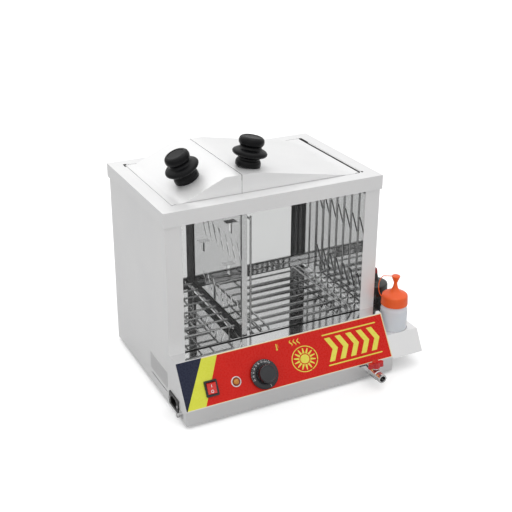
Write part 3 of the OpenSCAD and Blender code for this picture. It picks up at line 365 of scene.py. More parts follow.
def dress(node, materials, width=0.5, segments=2, name=None, seam=None):
    """A copy of a CAD node with its edges rounded, which stands for the node.
    Edges in a plane z = seam (millimetres) stay sharp, where two sheets meet flush.
    The first of several materials covers it; the caller gives faces to the others."""
    src = frame["nodes"][node]
    name = name or node + "_look"
    sharp = math.radians(30)
    bm = bmesh.new()
    bm.from_mesh(src.data)
    bmesh.ops.remove_doubles(bm, verts=bm.verts, dist=2e-6)
    bmesh.ops.dissolve_limit(bm, angle_limit=math.radians(0.6), verts=bm.verts,
                             edges=bm.edges, delimit={"NORMAL"})
    weight = bm.edges.layers.float.new("bevel_weight_edge")
    level = None if seam is None else P(0, 0, seam).z
    for e in bm.edges:
        if len(e.link_faces) != 2 or e.calc_face_angle(0) < sharp:
            continue
        if level is not None and all(abs(v.co.z - level) < 2e-5 for v in e.verts):
            continue
        e[weight] = 1.0
    me = bpy.data.meshes.new(name)
    bm.to_mesh(me)
    bm.free()
    o = new_object(name, me)
    bv = o.modifiers.new("edges", "BEVEL")
    bv.width = width * MM
    bv.segments = segments
    bv.limit_method = "WEIGHT"
    bv.use_clamp_overlap = True
    bv.miter_outer = "MITER_ARC"
    apply_modifiers(o)
    even_shading(o)
    o.data.materials.clear()
    for m in materials if isinstance(materials, list) else [materials]:
        o.data.materials.append(m)
    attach(o, src["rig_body"])
    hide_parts(node)
    return o


def paint_node(node, material):
    """A CAD node that keeps its own mesh gets a node material."""
    o = frame["nodes"][node]
    o.data.materials.clear()
    o.data.materials.append(material)


def spline(points, steps=6):
    """A smooth line through 2-D points, with the first and last kept."""
    out = []
    pts = [points[0]] + list(points) + [points[-1]]
    for i in range(1, len(pts) - 2):
        p0, p1, p2, p3 = (Vector(p) for p in pts[i - 1:i + 3])
        for k in range(steps):
            t = k / steps
            out.append(0.5 * (2 * p1 + (p2 - p0) * t + (2 * p0 - 5 * p1 + 4 * p2 - p3) * t * t
                              + (3 * p1 - p0 - 3 * p2 + p3) * t * t * t))
    out.append(Vector(points[-1]))
    return out


def circle(count, radius, x=0.0, y=0.0):
    return [(x + radius * math.cos(t), y + radius * math.sin(t))
            for t in (2 * math.pi * i / count for i in range(count))]


def bridge(bm, a, b):
    """A band of faces between two rings of the same count."""
    for i in range(len(a)):
        j = (i + 1) % len(a)
        bm.faces.new((a[i], a[j], b[j], b[i]))


def lathe(bm, profile, segments, ribs=None):
    """Turns (radius, height) points around Z. ribs(angle, r, z) may change the radius."""
    rings = []
    for r, z in profile:
        if r < 1e-6:
            rings.append([bm.verts.new((0, 0, z))])
            continue
        ring = []
        for i in range(segments):
            a = 2 * math.pi * i / segments
            rr = ribs(a, r, z) if ribs else r
            ring.append(bm.verts.new((rr * math.cos(a), rr * math.sin(a), z)))
        rings.append(ring)
    for a, b in zip(rings, rings[1:]):
        if len(a) > 1 and len(b) > 1:
            bridge(bm, a, b)
            continue
        for i in range(segments):
            j = (i + 1) % segments
            if len(b) > 1:
                bm.faces.new((a[0], b[j], b[i]))
            elif len(a) > 1:
                bm.faces.new((a[i], a[j], b[0]))


def tube(bm, points, radius, segments):
    """A round tube with closed ends along 3-D points; its frame doesn't twist."""
    pts = [Vector(p) for p in points]
    n = len(pts)
    rings = []
    normal = None
    for i, p in enumerate(pts):
        d = (pts[min(i + 1, n - 1)] - pts[max(i - 1, 0)]).normalized()
        if normal is None:
            normal = d.orthogonal().normalized()
        normal = (normal - d * normal.dot(d)).normalized()
        side = d.cross(normal)
        rings.append([bm.verts.new(p + radius * (math.cos(a) * normal + math.sin(a) * side))
                      for a in (2 * math.pi * k / segments for k in range(segments))])
    for a, b in zip(rings, rings[1:]):
        bridge(bm, a, b)
    bm.faces.new(rings[0][::-1])
    bm.faces.new(rings[-1])


def rounded_path(points, radius, steps=7):
    """A path whose inner corners are arcs."""
    pts = [Vector(p) for p in points]
    out = [pts[0]]
    for a, b, c in zip(pts, pts[1:], pts[2:]):
        u, v = (a - b), (c - b)
        cut = min(radius, u.length * 0.45, v.length * 0.45)
        start, end = b + u.normalized() * cut, b + v.normalized() * cut
        for k in range(steps + 1):
            t = k / steps
            out.append((1 - t) ** 2 * start + 2 * t * (1 - t) * b + t * t * end)
    out.append(pts[-1])
    return out


def solid_polygon(bm, points, low, high):
    """A flat outline in XY raised from low to high."""
    bottom = [bm.verts.new((x, y, low)) for x, y in points]
    top = [bm.verts.new((x, y, high)) for x, y in points]
    bm.faces.new(bottom[::-1])
    bm.faces.new(top)
    bridge(bm, bottom, top)


def box(bm, low, high):
    solid_polygon(bm, [(low[0], low[1]), (high[0], low[1]), (high[0], high[1]),
                       (low[0], high[1])], low[2], high[2])


def bevel_all(bm, width, segments=2, angle=30):
    edges = [e for e in bm.edges
             if len(e.link_faces) == 2 and e.calc_face_angle(0) > math.radians(angle)]
    bmesh.ops.bevel(bm, geom=edges, offset=width, segments=segments, affect="EDGES",
                    profile=0.5, clamp_overlap=True)


# Camera, lamps, stage

def make_camera():
    """The camera fitted to the photograph's corners."""
    cam = bpy.data.cameras.new("camera")
    cam.sensor_width = 36
    cam.lens = 66.61
    cam.shift_x = 0.0200
    cam.shift_y = -0.0634
    o = new_object("camera", cam)
    o.location = P(-536.2, -1409.8, 999.5)
    o.rotation_euler = (math.radians(90 - 22.697), 0, math.radians(-26.225))
    bpy.context.scene.camera = o


def area(name, location, size, power):
    """A soft lamp aimed at the middle of the cabinet."""
    lamp = bpy.data.lights.new(name, "AREA")
    lamp.shape = "RECTANGLE"
    lamp.size, lamp.size_y = size
    lamp.energy = power
    o = new_object(name, lamp)
    o.location = location
    direction = Vector((0, 0, 0.2)) - Vector(location)
    o.rotation_euler = direction.to_track_quat("-Z", "Y").to_euler()
    o.visible_camera = False


def make_world():
    """Even light, brighter overhead; the camera and transmission rays see white."""
    w = bpy.data.worlds.new("studio")
    bpy.context.scene.world = w
    w.use_nodes = True
    nt = w.node_tree
    nt.nodes.clear()
    out = nt.nodes.new("ShaderNodeOutputWorld")
    co = nt.nodes.new("ShaderNodeTexCoord")
    sep = nt.nodes.new("ShaderNodeSeparateXYZ")
    link(nt, co.outputs["Generated"], sep.inputs[0])
    height = math_node(nt, "MULTIPLY_ADD", sep.outputs[2], 0.5)
    height.node.inputs[2].default_value = 0.5
    sky = ramp(nt, height, [(0.0, grey(0.40)), (0.5, grey(0.54)), (0.68, grey(0.86)),
                            (0.95, grey(1.06))])
    around = nt.nodes.new("ShaderNodeBackground")
    link(nt, sky, around.inputs[0])
    around.inputs[1].default_value = 1.0
    white = nt.nodes.new("ShaderNodeBackground")
    white.inputs[0].default_value = (1, 1, 1, 1)
    path = nt.nodes.new("ShaderNodeLightPath")
    seen = math_node(nt, "MAXIMUM", path.outputs["Is Camera Ray"],
                     path.outputs["Is Transmission Ray"])
    link(nt, mix_shaders(nt, seen, around.outputs[0], white.outputs[0]), out.inputs[0])


def make_floor():
    """White paper that keeps the shadow but throws little light back up."""
    bm = bmesh.new()
    for x, y in ((-6, -6), (6, -6), (6, 6), (-6, 6)):
        bm.verts.new((x, y, 0))
    bm.faces.new(bm.verts)
    me = bpy.data.meshes.new("floor")
    bm.to_mesh(me)
    bm.free()
    floor = new_object("floor", me)
    m, nt = new_material("floor_paper")
    out = nt.nodes.new("ShaderNodeOutputMaterial")
    d = nt.nodes.new("ShaderNodeBsdfDiffuse")
    e = nt.nodes.new("ShaderNodeEmission")
    path = nt.nodes.new("ShaderNodeLightPath")
    link(nt, ramp(nt, path.outputs["Is Camera Ray"], [(0.0, grey(0.58)), (1.0, grey(0.96))]),
         d.inputs[0])
    lift = math_node(nt, "ADD", math_node(nt, "MULTIPLY", path.outputs["Is Camera Ray"], 0.20),
                     math_node(nt, "MULTIPLY", path.outputs["Is Transmission Ray"], 0.2))
    link(nt, lift, e.inputs[1])
    both = nt.nodes.new("ShaderNodeAddShader")
    link(nt, d.outputs[0], both.inputs[0])
    link(nt, e.outputs[0], both.inputs[1])
    link(nt, both.outputs[0], out.inputs[0])
    me.materials.append(m)


make_camera()
make_world()
make_floor()
area("key", (-0.3, 1.3, 2.3), (2.8, 2.0), 10)
area("fill", (-1.6, -1.6, 1.2), (1.8, 1.2), 1.5)
area("top", (0.2, -0.3, 2.2), (1.6, 1.2), 4)
bpy.context.scene.view_settings.view_transform = "Standard"

# Sheet steel

def give_faces(o, chosen):
    """The piece's second material goes to the faces that chosen(centre, normal) picks."""
    for f in o.data.polygons:
        if chosen(drawn(f.center), f.normal):
            f.material_index = 1


def in_groove(c):
    """The face beside the right hinge that lies below the frame's top; it takes the painted
    shade.
    """
    return abs(c[0] - 424.3) < 0.5 and c[2] < FRAME_TOP - 0.1


LID_SEAM_X = 166

# Forward-facing faces near the back of the base and side panels get shaded_steel: painted
# shade.
for n in ("base_shell", "left_side_panel", "right_side_panel"):
    give_faces(dress(n, [MATS["body"], MATS["dark_steel"]], seam=BASE_TOP),
               lambda c, normal: normal.y < -0.9 and 285 < c[1] < 297.5)
dress("bottle_shelf", MATS["body"])
give_faces(dress("control_panel", [MATS["front"], MATS["ledge"]]),
           lambda c, normal: normal.z > 0.98 and c[2] > BASE_TOP - 1)
for n in ("left_liner", "right_liner", "divider"):
    dress(n, MATS["inner"], 0.3)
# The frame's walls round the openings and the groove by the right hinge get painted shade.
give_faces(dress("top_frame", [MATS["frame"], MATS["shadow"]], 0.55, 3),
           lambda c, normal: 20 < c[0] < 430 and 20 < c[1] < 280
           and (abs(normal.z) < 0.3 or in_groove(c)))
# The lids' walls that face each other across the seam get painted shade.
for n, side in (("left_lid", 1), ("right_lid", -1)):
    give_faces(dress(n, [MATS["lid"], MATS["shadow"]], 0.55, 3),
               lambda c, normal: normal.x * side > 0.9 and abs(c[0] - LID_SEAM_X) < 0.8)
dress("water_tank", MATS["inner"], 0.3)
for n in ("bottom_plate", "element_clamps"):
    dress(n, MATS["plain"], 0.3)
for m, nodes in {
        "wire": ("bun_rack",),
        "zinc": ("base_screws", "shelf_screws", "inlet_screws", "left_knob_screw",
                 "right_knob_screw", "left_hinge_pins", "right_hinge_pins", "dial_shaft",
                 "earth_terminal"),
        "seal": ("divider_seal",),
        "sheath": ("heating_element",),
        "copper": ("drain_pipe", "thermostat_bulb"),
        "dark_steel": ("tap_ball",),
        "window": ("front_glass", "rear_glass")}.items():
    for n in nodes:
        paint_node(n, MATS[m])


# Rack, trays and seals

def make_sausage_rack():
    """Nine bent floor wires between two upper rails, and four long wires that lie on them
    and turn down into legs."""
    left, right, front, pitch, count = 174.0, 425.0, 13.0, 27.0, 9
    floor_z, rail_z, top_z, foot_z = 103.0, 346.0, 349.6, 70.4
    wire_r, beside, turn = 1.95, 3.6, 0.75
    rows = [front + i * pitch for i in range(count)]
    paths = [([(left, y, top_z), (left, y, floor_z), (right, y, floor_z),
               (right, y, top_z)], 5.5) for y in rows]
    paths += [([(x, front - beside, rail_z), (x, (front + rows[-1]) / 2, rail_z),
                (x, rows[-1] + beside, rail_z)], 0.1)
              for x in (left - beside, right + beside)]
    paths += [([(x, 17, foot_z), (x, 17, floor_z + beside), (x, 245, floor_z + beside),
                (x, 245, foot_z)], 8) for x in (201.0, 217.0, 391.9, 403.9)]
    bm = bmesh.new()
    for points, bend in paths:
        tube(bm, rounded_path([P(*p) / MM for p in points], bend / turn), wire_r, 14)
    finish_mesh("sausage_rack_wires", bm, MATS["wire"], CABINET,
                Matrix.Scale(MM, 4), 50, ("sausage_rack",))


def rounded_rect(x0, y0, x1, y1, r, steps=6):
    """A rectangle in XY whose corners are arcs."""
    out = []
    for cx, cy, a0 in ((x1 - r, y0 + r, -90), (x1 - r, y1 - r, 0), (x0 + r, y1 - r, 90),
                       (x0 + r, y0 + r, 180)):
        out += [(cx + r * math.cos(math.radians(a0 + 90 * k / steps)),
                 cy + r * math.sin(math.radians(a0 + 90 * k / steps)))
                for k in range(steps + 1)]
    return out


def make_tray(name, x0, x1):
    """A polished steam tray under the rack's floor, with a low turned-up rim. The rack's
    legs go through it. Its section is (cut in from the outline, height)."""
    y0, y1, corner = 10.2, 289.2, 6
    section = ((1.2, 92.2), (0, 93.2), (0, 95.2), (0.3, 95.5), (0.7, 95.5), (1.0, 95.2),
               (1.0, 94.2), (2.0, 93.2))
    bm = bmesh.new()
    rings = [[bm.verts.new(P(x, y, z)) for x, y in
              rounded_rect(x0 + cut, y0 + cut, x1 - cut, y1 - cut, corner - cut)]
             for cut, z in section]
    for a, b in zip(rings, rings[1:]):
        bridge(bm, a, b)
    bm.faces.new(rings[0][::-1])
    bm.faces.new(rings[-1])
    finish_mesh(name, bm, MATS["inner"], CABINET, None, 30)


def extrude_x(bm, outline, x0, x1):
    """A closed (y, z) outline drawn out along X."""
    a = [bm.verts.new(P(x0, y, z)) for y, z in outline]
    b = [bm.verts.new(P(x1, y, z)) for y, z in outline]
    bm.faces.new(a)
    bm.faces.new(b[::-1])
    bridge(bm, a, b)


def make_glass_seal(node, y):
    """A channel under the pane, between its two lips."""
    bm = bmesh.new()
    extrude_x(bm, [(y + 0.6, 105.5), (y + 5.4, 105.5), (y + 5.4, 107.3), (y + 5.2, 107.5),
                   (y + 5.05, 107.5), (y + 5.05, 107.1), (y + 0.95, 107.1),
                   (y + 0.95, 107.5), (y + 0.8, 107.5), (y + 0.6, 107.3)], 27.1, 422.9)
    finish_mesh(node + "_strip", bm, MATS["seal"], CABINET, None, 40, (node,))


def make_divider_edging():
    """Rubber along the divider's foot and a rail between its rear edge and the glass."""
    bm = bmesh.new()
    for x0, x1 in ((159.6, 162.3), (163.7, 166.2)):
        box(bm, (x0, 11.2, 93.4), (x1, 256, 115))
    box(bm, (160.2, 254.6, 93.4), (165.8, 289.4, 376))
    bevel_all(bm, 0.5, 2)
    for v in bm.verts:
        v.co = P(*v.co)
    finish_mesh("divider_edging", bm, MATS["seal"], CABINET, None, 40)


def make_painted_hinge_shade():
    """Dark strip beside the right lid's hinge and dark marks at the frame's corners, all
    thin and just above the frame's flat top: painted shade for the hinge gap and corners."""
    for name, outline in {
            "right_hinge_shade_strip": [(417.1, 33), (419.6, 33), (419.6, 236), (417.1, 236)],
            "right_hinge_front_shade": [(422.4, 31.5), (425.6, 31.5), (425.6, 35.5),
                                 (422.4, 35.5)],
            "left_corner_shade": [(24.6, 262), (26.8, 262), (26.8, 272.2), (37, 272.2),
                                 (37, 274.4), (25.6, 276)],
            "right_corner_shade": [(417.1, 236), (422.6, 240), (422.6, 270),
                                  (417.1, 270)]}.items():
        bm = bmesh.new()
        solid_polygon(bm, outline, FRAME_TOP + 0.02, FRAME_TOP + 0.7)
        bevel_all(bm, 0.25, 2)
        for v in bm.verts:
            v.co = P(*v.co)
        finish_mesh(name, bm, MATS["shadow"], CABINET, None, 40)


make_sausage_rack()
make_tray("left_steam_tray", 16.3, 159.8)
make_tray("right_steam_tray", 166.7, 433.7)
make_glass_seal("front_glass_seal", 3.3)
make_glass_seal("rear_glass_seal", 289.7)
make_painted_hinge_shade()
make_divider_edging()

# Knobs, dial, switch, lamp

# Turned outlines are (radius, height) in millimetres.
KNOB = [(22.4, 0), (23.8, 1.2), (24.0, 4.0), (23.8, 8.0), (22.6, 11.0), (21.0, 13.2),
        (20.6, 15.0), (22.0, 17.2), (26.0, 19.2), (30.5, 21.2), (32.7, 24.2), (32.6, 27.0),
        (30.5, 29.6), (26.5, 31.8), (22.5, 33.8), (20.6, 36.0), (20.2, 37.8), (21.4, 39.8),
        (23.2, 42.2), (24.0, 45.6), (23.8, 49.4), (22.6, 52.6), (20.0, 55.0), (17.0, 56.0),
        (16.0, 55.9), (15.4, 55.2), (14.4, 55.0)]


def slope_place(x, y, z, tilt, along):
    """A place on a lid's slope: its foot line, its angle in degrees and the way up it."""
    turn = Matrix.Rotation(math.radians(tilt), 3, "Y")
    return place(P(x, y, z) + turn @ Vector((along * MM, 0, 0)), turn)


def make_knob(name, node, body, matrix):
    bm = bmesh.new()
    lathe(bm, [(0, 0)] + [tuple(p) for p in spline(KNOB, 4)] + [(0, KNOB[-1][1])], 112)
    finish_mesh(name, bm, MATS["knob"], body, matrix, 50, (node,))


make_knob("left_lid_knob", "left_knob", "left_lid_body",
          slope_place(51, 103, FRAME_TOP, -23.667, 42.0))
make_knob("right_lid_knob", "right_knob", "right_lid_body",
          slope_place(193, 75, 424.0, 10.370, 6.0))


def text_mesh(name, words, size, material, body, matrix):
    """Raised print: numbers or a sign, centred on its own origin."""
    c = bpy.data.curves.new(name, "FONT")
    c.body = words
    c.size = size
    c.extrude = 0.03
    c.resolution_u = 3
    c.align_x = "CENTER"
    c.align_y = "CENTER"
    o = new_object(name, c)
    me = bpy.data.meshes.new_from_object(o)
    bpy.data.objects.remove(o)
    bm = bmesh.new()
    bm.from_mesh(me)
    bpy.data.meshes.remove(me)
    bmesh.ops.remove_doubles(bm, verts=bm.verts, dist=1e-4)
    finish_mesh(name, bm, material, body, matrix, 30)


CONTROLS_S = 58.5


def make_dial():
    """A fluted dial on a flat skirt, with a scale of numbers from 30 in steps of 10."""
    at = on_panel(167.5, CONTROLS_S, 3.5)

    def flutes(a, r, z):
        if 4.2 < z < 17.5 and r > 15:
            return r - 0.75 * max(0.0, math.cos(24 * a)) ** 6
        return r

    bm = bmesh.new()
    profile = [(0, 0), (27.3, 0), (27.9, 0.5), (28.0, 1.5), (27.4, 2.1), (25.6, 2.9),
               (25.0, 3.0), (20.6, 3.1), (19.4, 3.5), (19.0, 4.3), (18.8, 6), (18.3, 10),
               (17.7, 14), (17.2, 17), (16.9, 18.4), (16.2, 19.4), (15.0, 19.9),
               (14.2, 19.6), (13.6, 19.3), (12.8, 19.35), (9, 19.75), (4.5, 19.95), (0, 20.0)]
    lathe(bm, profile, 192, flutes)
    finish_mesh("thermostat_dial", bm, MATS["dial"], "dial_body", at, 32,
                ("dial",))
    bm = bmesh.new()
    numbers, step, first = 9, 17.0, 195.0
    dot_ring, number_ring, skirt_top = 26.35, 23.1, 3.06
    for k in range(2 * numbers - 1):
        a = math.radians(first - k * step / 2)
        r = 0.55 if k % 2 == 0 else 0.36
        solid_polygon(bm, circle(14, r, dot_ring * math.cos(a), dot_ring * math.sin(a)),
                      2.3, 2.72)
    a = math.radians(-73)
    d, w = Vector((math.cos(a), math.sin(a))), Vector((-math.sin(a), math.cos(a)))
    solid_polygon(bm, [tuple(d * r + w * s) for r, s in
                       ((21.4, -0.35), (26.2, -0.35), (26.2, 0.35), (21.4, 0.35))], 2.7, 3.12)
    finish_mesh("dial_marks", bm, MATS["print"], "dial_body", at)
    for k in range(numbers):
        a = math.radians(first - k * step)
        spot = Matrix.Translation((number_ring * math.cos(a), number_ring * math.sin(a),
                                   skirt_top))
        words = str(30 + 10 * k)
        text_mesh("dial_number_" + words, words, 4.1, MATS["print"], "dial_body",
                  at @ spot @ Matrix.Rotation(a - math.pi / 2, 4, "Z"))


make_dial()


def make_switch():
    """A dished rocker, tipped to one side, with two stub pins and its raised signs."""
    dress("switch_housing", MATS["black"], 0.5, 3)
    at = on_panel(60, CONTROLS_S, -0.5) @ Matrix.Rotation(math.radians(9), 4, "X")
    bm = bmesh.new()
    half_w, half_l, top, dish, steps = 8.75, 10.5, 5.2, 0.55, 24
    flat_l = half_l - 1.6
    outline = [(-half_l, 3.0), (-half_l, -1.0), (-4, -8), (4, -8), (half_l, -1.0),
               (half_l, 3.0), (half_l - 0.8, top)]
    for i in range(steps + 1):
        y = flat_l * (1 - 2 * i / steps)
        outline.append((y, top - dish * (1 - (y / flat_l) ** 2) ** 0.7))
    outline.append((-half_l + 0.8, top))
    left = [bm.verts.new((-half_w, y, z)) for y, z in outline]
    right = [bm.verts.new((half_w, y, z)) for y, z in outline]
    bm.faces.new(left[::-1])
    bm.faces.new(right)
    bridge(bm, left, right)
    for s in (-1, 1):
        root, end = ([bm.verts.new((s * x, y, z)) for y, z in circle(20, 1.5)]
                     for x in (half_w, half_w + 0.8))
        bridge(bm, root, end)
        bm.faces.new(end)
    bevel_all(bm, 0.35, 3, 40)
    finish_mesh("rocker_cap", bm, MATS["rocker"], "rocker_body", at, 40,
                ("switch_rocker",))
    bm = bmesh.new()
    low, high = 4.7, 5.12
    solid_polygon(bm, [(-0.55, 2.4), (0.55, 2.4), (0.55, 7.4), (-0.55, 7.4)], low, high)
    for k in range(steps):
        a, b = 2 * math.pi * k / steps, 2 * math.pi * (k + 1) / steps
        solid_polygon(bm, [(r * math.cos(t), -5.2 + r * math.sin(t))
                           for r, t in ((1.8, a), (2.9, a), (2.9, b), (1.8, b))],
                      low, high)
    bmesh.ops.remove_doubles(bm, verts=bm.verts, dist=1e-4)
    finish_mesh("rocker_signs", bm, MATS["print"], "rocker_body", at)


make_switch()


def make_lamp():
    """A white ring round a dark collar, with a ribbed amber dome."""
    at = on_panel(110, CONTROLS_S, 0.5)
    bm = bmesh.new()
    profile = [(7.9, 0.6), (8.0, 1.4), (8.3, 2.1), (8.9, 2.45), (9.4, 2.2), (9.85, 1.5),
               (10.0, 0.7), (9.95, 0.0)]
    lathe(bm, [tuple(p) for p in spline(profile, 3)] + [(7.8, 0.0), (7.9, 0.6)], 72)
    finish_mesh("lamp_ring", bm, MATS["white"], CABINET, at, 50,
                ("pilot_ring",))
    bm = bmesh.new()
    lathe(bm, [(0, 0.05), (7.95, 0.05), (7.95, 1.0), (6.4, 1.15), (5.9, 1.0), (0, 1.0)], 60)
    lathe(bm, [(0, -24.4), (5.7, -24.4), (5.8, -24), (5.8, 0), (0, 0)], 48)
    finish_mesh("lamp_collar", bm, MATS["dark_red"], CABINET, at, 40)
    bm = bmesh.new()
    dome = [(0, 1.0), (5.6, 1.0)] + [(5.6 * math.cos(t), 1.6 + 3.6 * math.sin(t))
                                     for t in (i * math.pi / 20 for i in range(10))]
    lathe(bm, dome + [(0, 5.2)], 60,
          lambda a, r, z: r * (1 + 0.012 * math.cos(20 * a)) if z > 1.1 else r)
    finish_mesh("lamp_lens", bm, MATS["lens"], CABINET, at, 30,
                ("pilot_lens",))


make_lamp()

# Front film

def make_overlay():
    """The film's own sheet, with the UV map that its printed fields are drawn on."""
    o = dress("panel_overlay", overlay_material(), 0.12, 1, name="front_film")
    uv = o.data.uv_layers.new(name="panel")
    for loop in o.data.loops:
        x, _, z = drawn(o.data.vertices[loop.vertex_index].co)
        uv.data[loop.index].uv = (x / FILM_WIDTH,
                                  (BASE_TOP - z) / math.sin(TILT) / FILM_LENGTH)


make_overlay()


def ribbon(bm, points, width, low, high):
    """A flat band of changing width along 2-D points; it narrows to both ends."""
    pts = [Vector(p) for p in points]
    n = len(pts)
    left, right = [], []
    for i, p in enumerate(pts):
        d = (pts[min(i + 1, n - 1)] - pts[max(i - 1, 0)]).normalized()
        w = width * (0.12 + 0.88 * math.sin(math.pi * i / (n - 1))) / 2
        left.append(p + Vector((-d.y, d.x)) * w)
        right.append(p - Vector((-d.y, d.x)) * w)
    for i in range(n - 1):
        solid_polygon(bm, [tuple(right[i]), tuple(right[i + 1]), tuple(left[i + 1]),
                           tuple(left[i])], low, high)


def make_motif():
    """A sunburst, rising curls and a band of chevrons, printed in yellow."""
    low, high = 0.5, 0.56

    def oval(points):
        """(radius, angle) points, drawn a little wider than high."""
        solid_polygon(bm, [(1.12 * r * math.cos(t), r * math.sin(t)) for r, t in points],
                      low, high)

    bm = bmesh.new()
    steps, rays, half = 64, 14, 0.13
    for k in range(steps):
        a, b = 2 * math.pi * k / steps, 2 * math.pi * (k + 1) / steps
        oval(((23.4, a), (25.0, a), (25.0, b), (23.4, b)))
        oval(((8.6, a), (8.6, b), (0, 0)))
    for k in range(rays):
        a = 2 * math.pi * (k + 0.5) / rays
        oval(((10.6, a - half * 1.5), (20.8, a - half * 0.35), (20.8, a + half * 0.35),
              (10.6, a + half * 1.5)))
    bmesh.ops.remove_doubles(bm, verts=bm.verts, dist=1e-4)
    finish_mesh("film_sunburst", bm, MATS["yellow"], CABINET,
                on_panel(258, 50), 30)
    bm = bmesh.new()
    for k in range(5):
        x0 = 6 + k * 24
        solid_polygon(bm, [(x0, -23), (x0 + 12, -23), (x0 + 25, 0), (x0 + 12, 23), (x0, 23),
                           (x0 + 13, 0)], low, high)
    for y in (-29.5, 29.5):
        solid_polygon(bm, [(4, y - 1.2), (124, y - 1.2), (126, y), (124, y + 1.2),
                           (4, y + 1.2), (2, y)], low, high)
    finish_mesh("film_chevrons", bm, MATS["yellow"], CABINET,
                on_panel(302, 45), 30)
    bm = bmesh.new()
    for k in range(3):
        pts = [(k * 8.0 + 2.4 * math.sin(2.1 * math.pi * t + 0.4 * k), 12.5 * t)
               for t in (i / 22 for i in range(23))]
        ribbon(bm, pts, 2.2, low, high)
    solid_polygon(bm, circle(20, 1.9, -31, 1.0), low, high)
    solid_polygon(bm, [(-31.9, 1.0), (-30.1, 1.0), (-30.1, 11.0), (-31.0, 11.8),
                       (-31.9, 11.0)], low, high)
    for k in range(4):
        solid_polygon(bm, [(-28.9, 4 + 2 * k), (-27.1, 4 + 2 * k), (-27.1, 4.5 + 2 * k),
                           (-28.9, 4.5 + 2 * k)], low, high)
    finish_mesh("film_curls", bm, MATS["yellow"], CABINET,
                on_panel(237, 21), 30)


make_motif()

# Squeeze bottles

BOTTLE_X, BOTTLE_Y, BOTTLE_PITCH = 480.38, -21.3, 72.0


CAP_FOOT_Z = 117.4


def make_bottle(tag, y, plastic):
    """A hollow bottle: its outline and the same outline a wall's thickness further in."""
    body = [(0, 1.6), (10, 1.5), (19, 1.0), (22.6, 0.2), (24.6, 0.35), (26.2, 1.5),
            (26.95, 3.6), (27, 8), (27, 74), (26.8, 79.5), (26.1, 83.2), (24.8, 86.4),
            (23.4, 88.8), (22.9, 90.8)]
    outer = [tuple(p) for p in spline(body, 3)]
    inner = [(max(0, r - 1.1), z + (1.2 if r < 24 and z < 20 else 0)) for r, z in outer]
    bm = bmesh.new()
    lathe(bm, outer + [(21.5, 91.2), (21.5, 104.8), (20.4, 104.8)] + inner[::-1], 96)
    bmesh.ops.remove_doubles(bm, verts=bm.verts, dist=1e-4)
    finish_mesh(tag + "_squeeze_bottle", bm, plastic, tag + "_bottle_body",
                place(P(BOTTLE_X, y, 26.2)), 40, (tag + "_bottle",))


def grip(a, r, z):
    """Fine upright ribs round a cap's side."""
    return r - 0.22 * (0.5 + 0.5 * math.cos(60 * a)) if 1.5 < z < 17 and r > 25 else r


def make_strap_cap(tag, y):
    """Screw cap with a waisted nozzle; a soft strap holds the nozzle's flared stopper."""
    cap = [(26.4, 0.0), (26.6, 0.8), (26.5, 6), (26.1, 15), (25.7, 18.6), (24.6, 20.6),
           (21, 22.8), (15, 25.4), (10, 28.6), (7, 32.5), (5, 37), (3.9, 42), (3.5, 45.5)]
    tip = [(3.5, 45.5), (3.9, 47.5), (5.2, 51), (6.9, 55), (8.3, 59.4), (8.5, 60.4),
           (7.9, 61)]
    bm = bmesh.new()
    lathe(bm, [(22.0, 0.0)] + [tuple(p) for p in spline(cap, 4)]
          + [(1.3, 45.6), (1.2, 30), (1.2, 15.0), (22.0, 15.0), (22.0, 0.0)], 240, grip)
    lathe(bm, [(0, 45.5)] + [tuple(p) for p in spline(tip, 4)] + [(0, 61)], 64)
    turn = Matrix.Rotation(math.radians(150), 3, "Z")
    strap = [(7.5, 60.2), (13, 63), (20, 62.5), (26.5, 58.5), (31, 51), (33, 41),
             (32.6, 31), (30.4, 22), (27.2, 16.5), (26, 14)]
    highest = 60.1
    tube(bm, [turn @ Vector((p.x, 0, min(p.y, highest))) for p in spline(strap, 4)], 0.85,
         14)
    finish_mesh(tag + "_nozzle_cap", bm, MATS["orange"], tag + "_cap_body",
                place(P(BOTTLE_X, y, CAP_FOOT_Z)), 45, (tag + "_bottle_cap",))


def make_slim_cap(tag, y):
    """Low dark cap with a slim cone and a red tip."""
    cap = [(26.4, 0.0), (26.6, 0.8), (26.5, 6), (26.1, 13), (25.2, 15.2), (22, 16.6),
           (14, 18.0), (9.6, 19.6), (7.6, 23), (5.6, 31), (4.0, 38.5)]
    at = place(P(BOTTLE_X, y, CAP_FOOT_Z))
    bm = bmesh.new()
    lathe(bm, [(22.0, 0.0)] + [tuple(p) for p in spline(cap, 4)]
          + [(1.3, 38.6), (1.2, 30), (1.2, 12.0), (22.0, 12.0), (22.0, 0.0)], 240, grip)
    finish_mesh(tag + "_slim_cap", bm, MATS["black"], tag + "_cap_body", at, 45,
                (tag + "_bottle_cap",))
    bm = bmesh.new()
    tip = [(4.6, 37.4), (4.5, 39.5), (3.9, 43), (3.1, 46), (2.2, 47.6), (1.2, 48)]
    lathe(bm, [(0, 37.4)] + [tuple(p) for p in spline(tip, 4)] + [(0, 48)], 48)
    finish_mesh(tag + "_nozzle_tip", bm, MATS["dark_red"], tag + "_cap_body", at)


make_bottle("front", BOTTLE_Y, MATS["bottle"])
make_bottle("rear", BOTTLE_Y + BOTTLE_PITCH, MATS["dark_bottle"])
make_strap_cap("front", BOTTLE_Y)
make_slim_cap("rear", BOTTLE_Y + BOTTLE_PITCH)

# Small fittings and leads

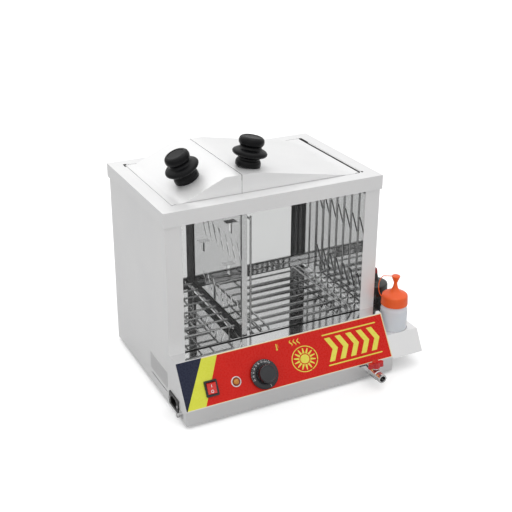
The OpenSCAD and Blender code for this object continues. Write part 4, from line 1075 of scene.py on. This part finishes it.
dress("power_inlet", MATS["black"], 0.5, 3)
dress("inlet_pins", MATS["brass"], 0.25)
dress("tap_lever", MATS["lever"], 0.9, 4)
dress("tap_body", MATS["chrome"], 0.35, 2)
dress("rating_plate", MATS["plate"], 0.2)
dress("feet", MATS["rubber"], 0.5, 2)
dress("terminal_block", MATS["ivory"], 0.5, 2)
dress("thermostat_body", MATS["ivory"], 0.4, 2)


def panel_point(x, s, n):
    """A point n millimetres out of the sloping panel, in the drawing's millimetres."""
    return (x, PANEL_TOP_Y - s * math.cos(TILT) - n * math.sin(TILT),
            BASE_TOP - s * math.sin(TILT) + n * math.cos(TILT))


def make_leads():
    """Single leads inside the base, from terminal to terminal."""
    colours = {
        "blue": shader("lead_blue", (0.02, 0.05, 0.3), (0.03, 0.08, 0.38), (0.4, 0.5)),
        "brown": shader("lead_brown", (0.16, 0.07, 0.03), (0.22, 0.1, 0.05), (0.4, 0.5)),
        "black": shader("lead_black", grey(0.012), grey(0.022), (0.4, 0.5)),
        "red": shader("lead_red", (0.45, 0.02, 0.015), (0.55, 0.03, 0.02), (0.4, 0.5)),
    }
    block_z, stat_s, bend, lead_r = 8.4, 68.5, 9, 1.3
    runs = {
        "blue": [(33.1, -11, 19), (41.1, -11, 19), (47.1, 40, 12.4), (60, 54, block_z),
                 (60, 64, block_z)],
        "brown": [(33.1, -25, 19), (41.1, -25, 19), panel_point(60, 51.5, -48),
                  panel_point(60, 51.5, -35)],
        "black": [(82, 64, block_z), (82, 52, block_z), (108, 20, 12.4),
                  panel_point(157.5, stat_s, -39.2), panel_point(157.5, stat_s, -27.2)],
        "red": [(190, 260, 64.8), (190, 274, 64.8), (180, 274, 14.4), (93, 90, block_z),
                (93, 76, block_z)],
        "red_2": [(350, 260, 64.8), (350, 274, 64.8), (340, 274, 14.4), (104, 90, block_z),
                  (104, 76, block_z)],
    }
    for k, (colour, points) in enumerate(runs.items()):
        bm = bmesh.new()
        tube(bm, rounded_path([P(*p) / MM for p in points], bend), lead_r, 14)
        finish_mesh("lead_" + colour, bm, colours[colour.split("_")[0]], CABINET,
                    Matrix.Scale(MM, 4), 50, ("wiring",) if k == 0 else ())


make_leads()
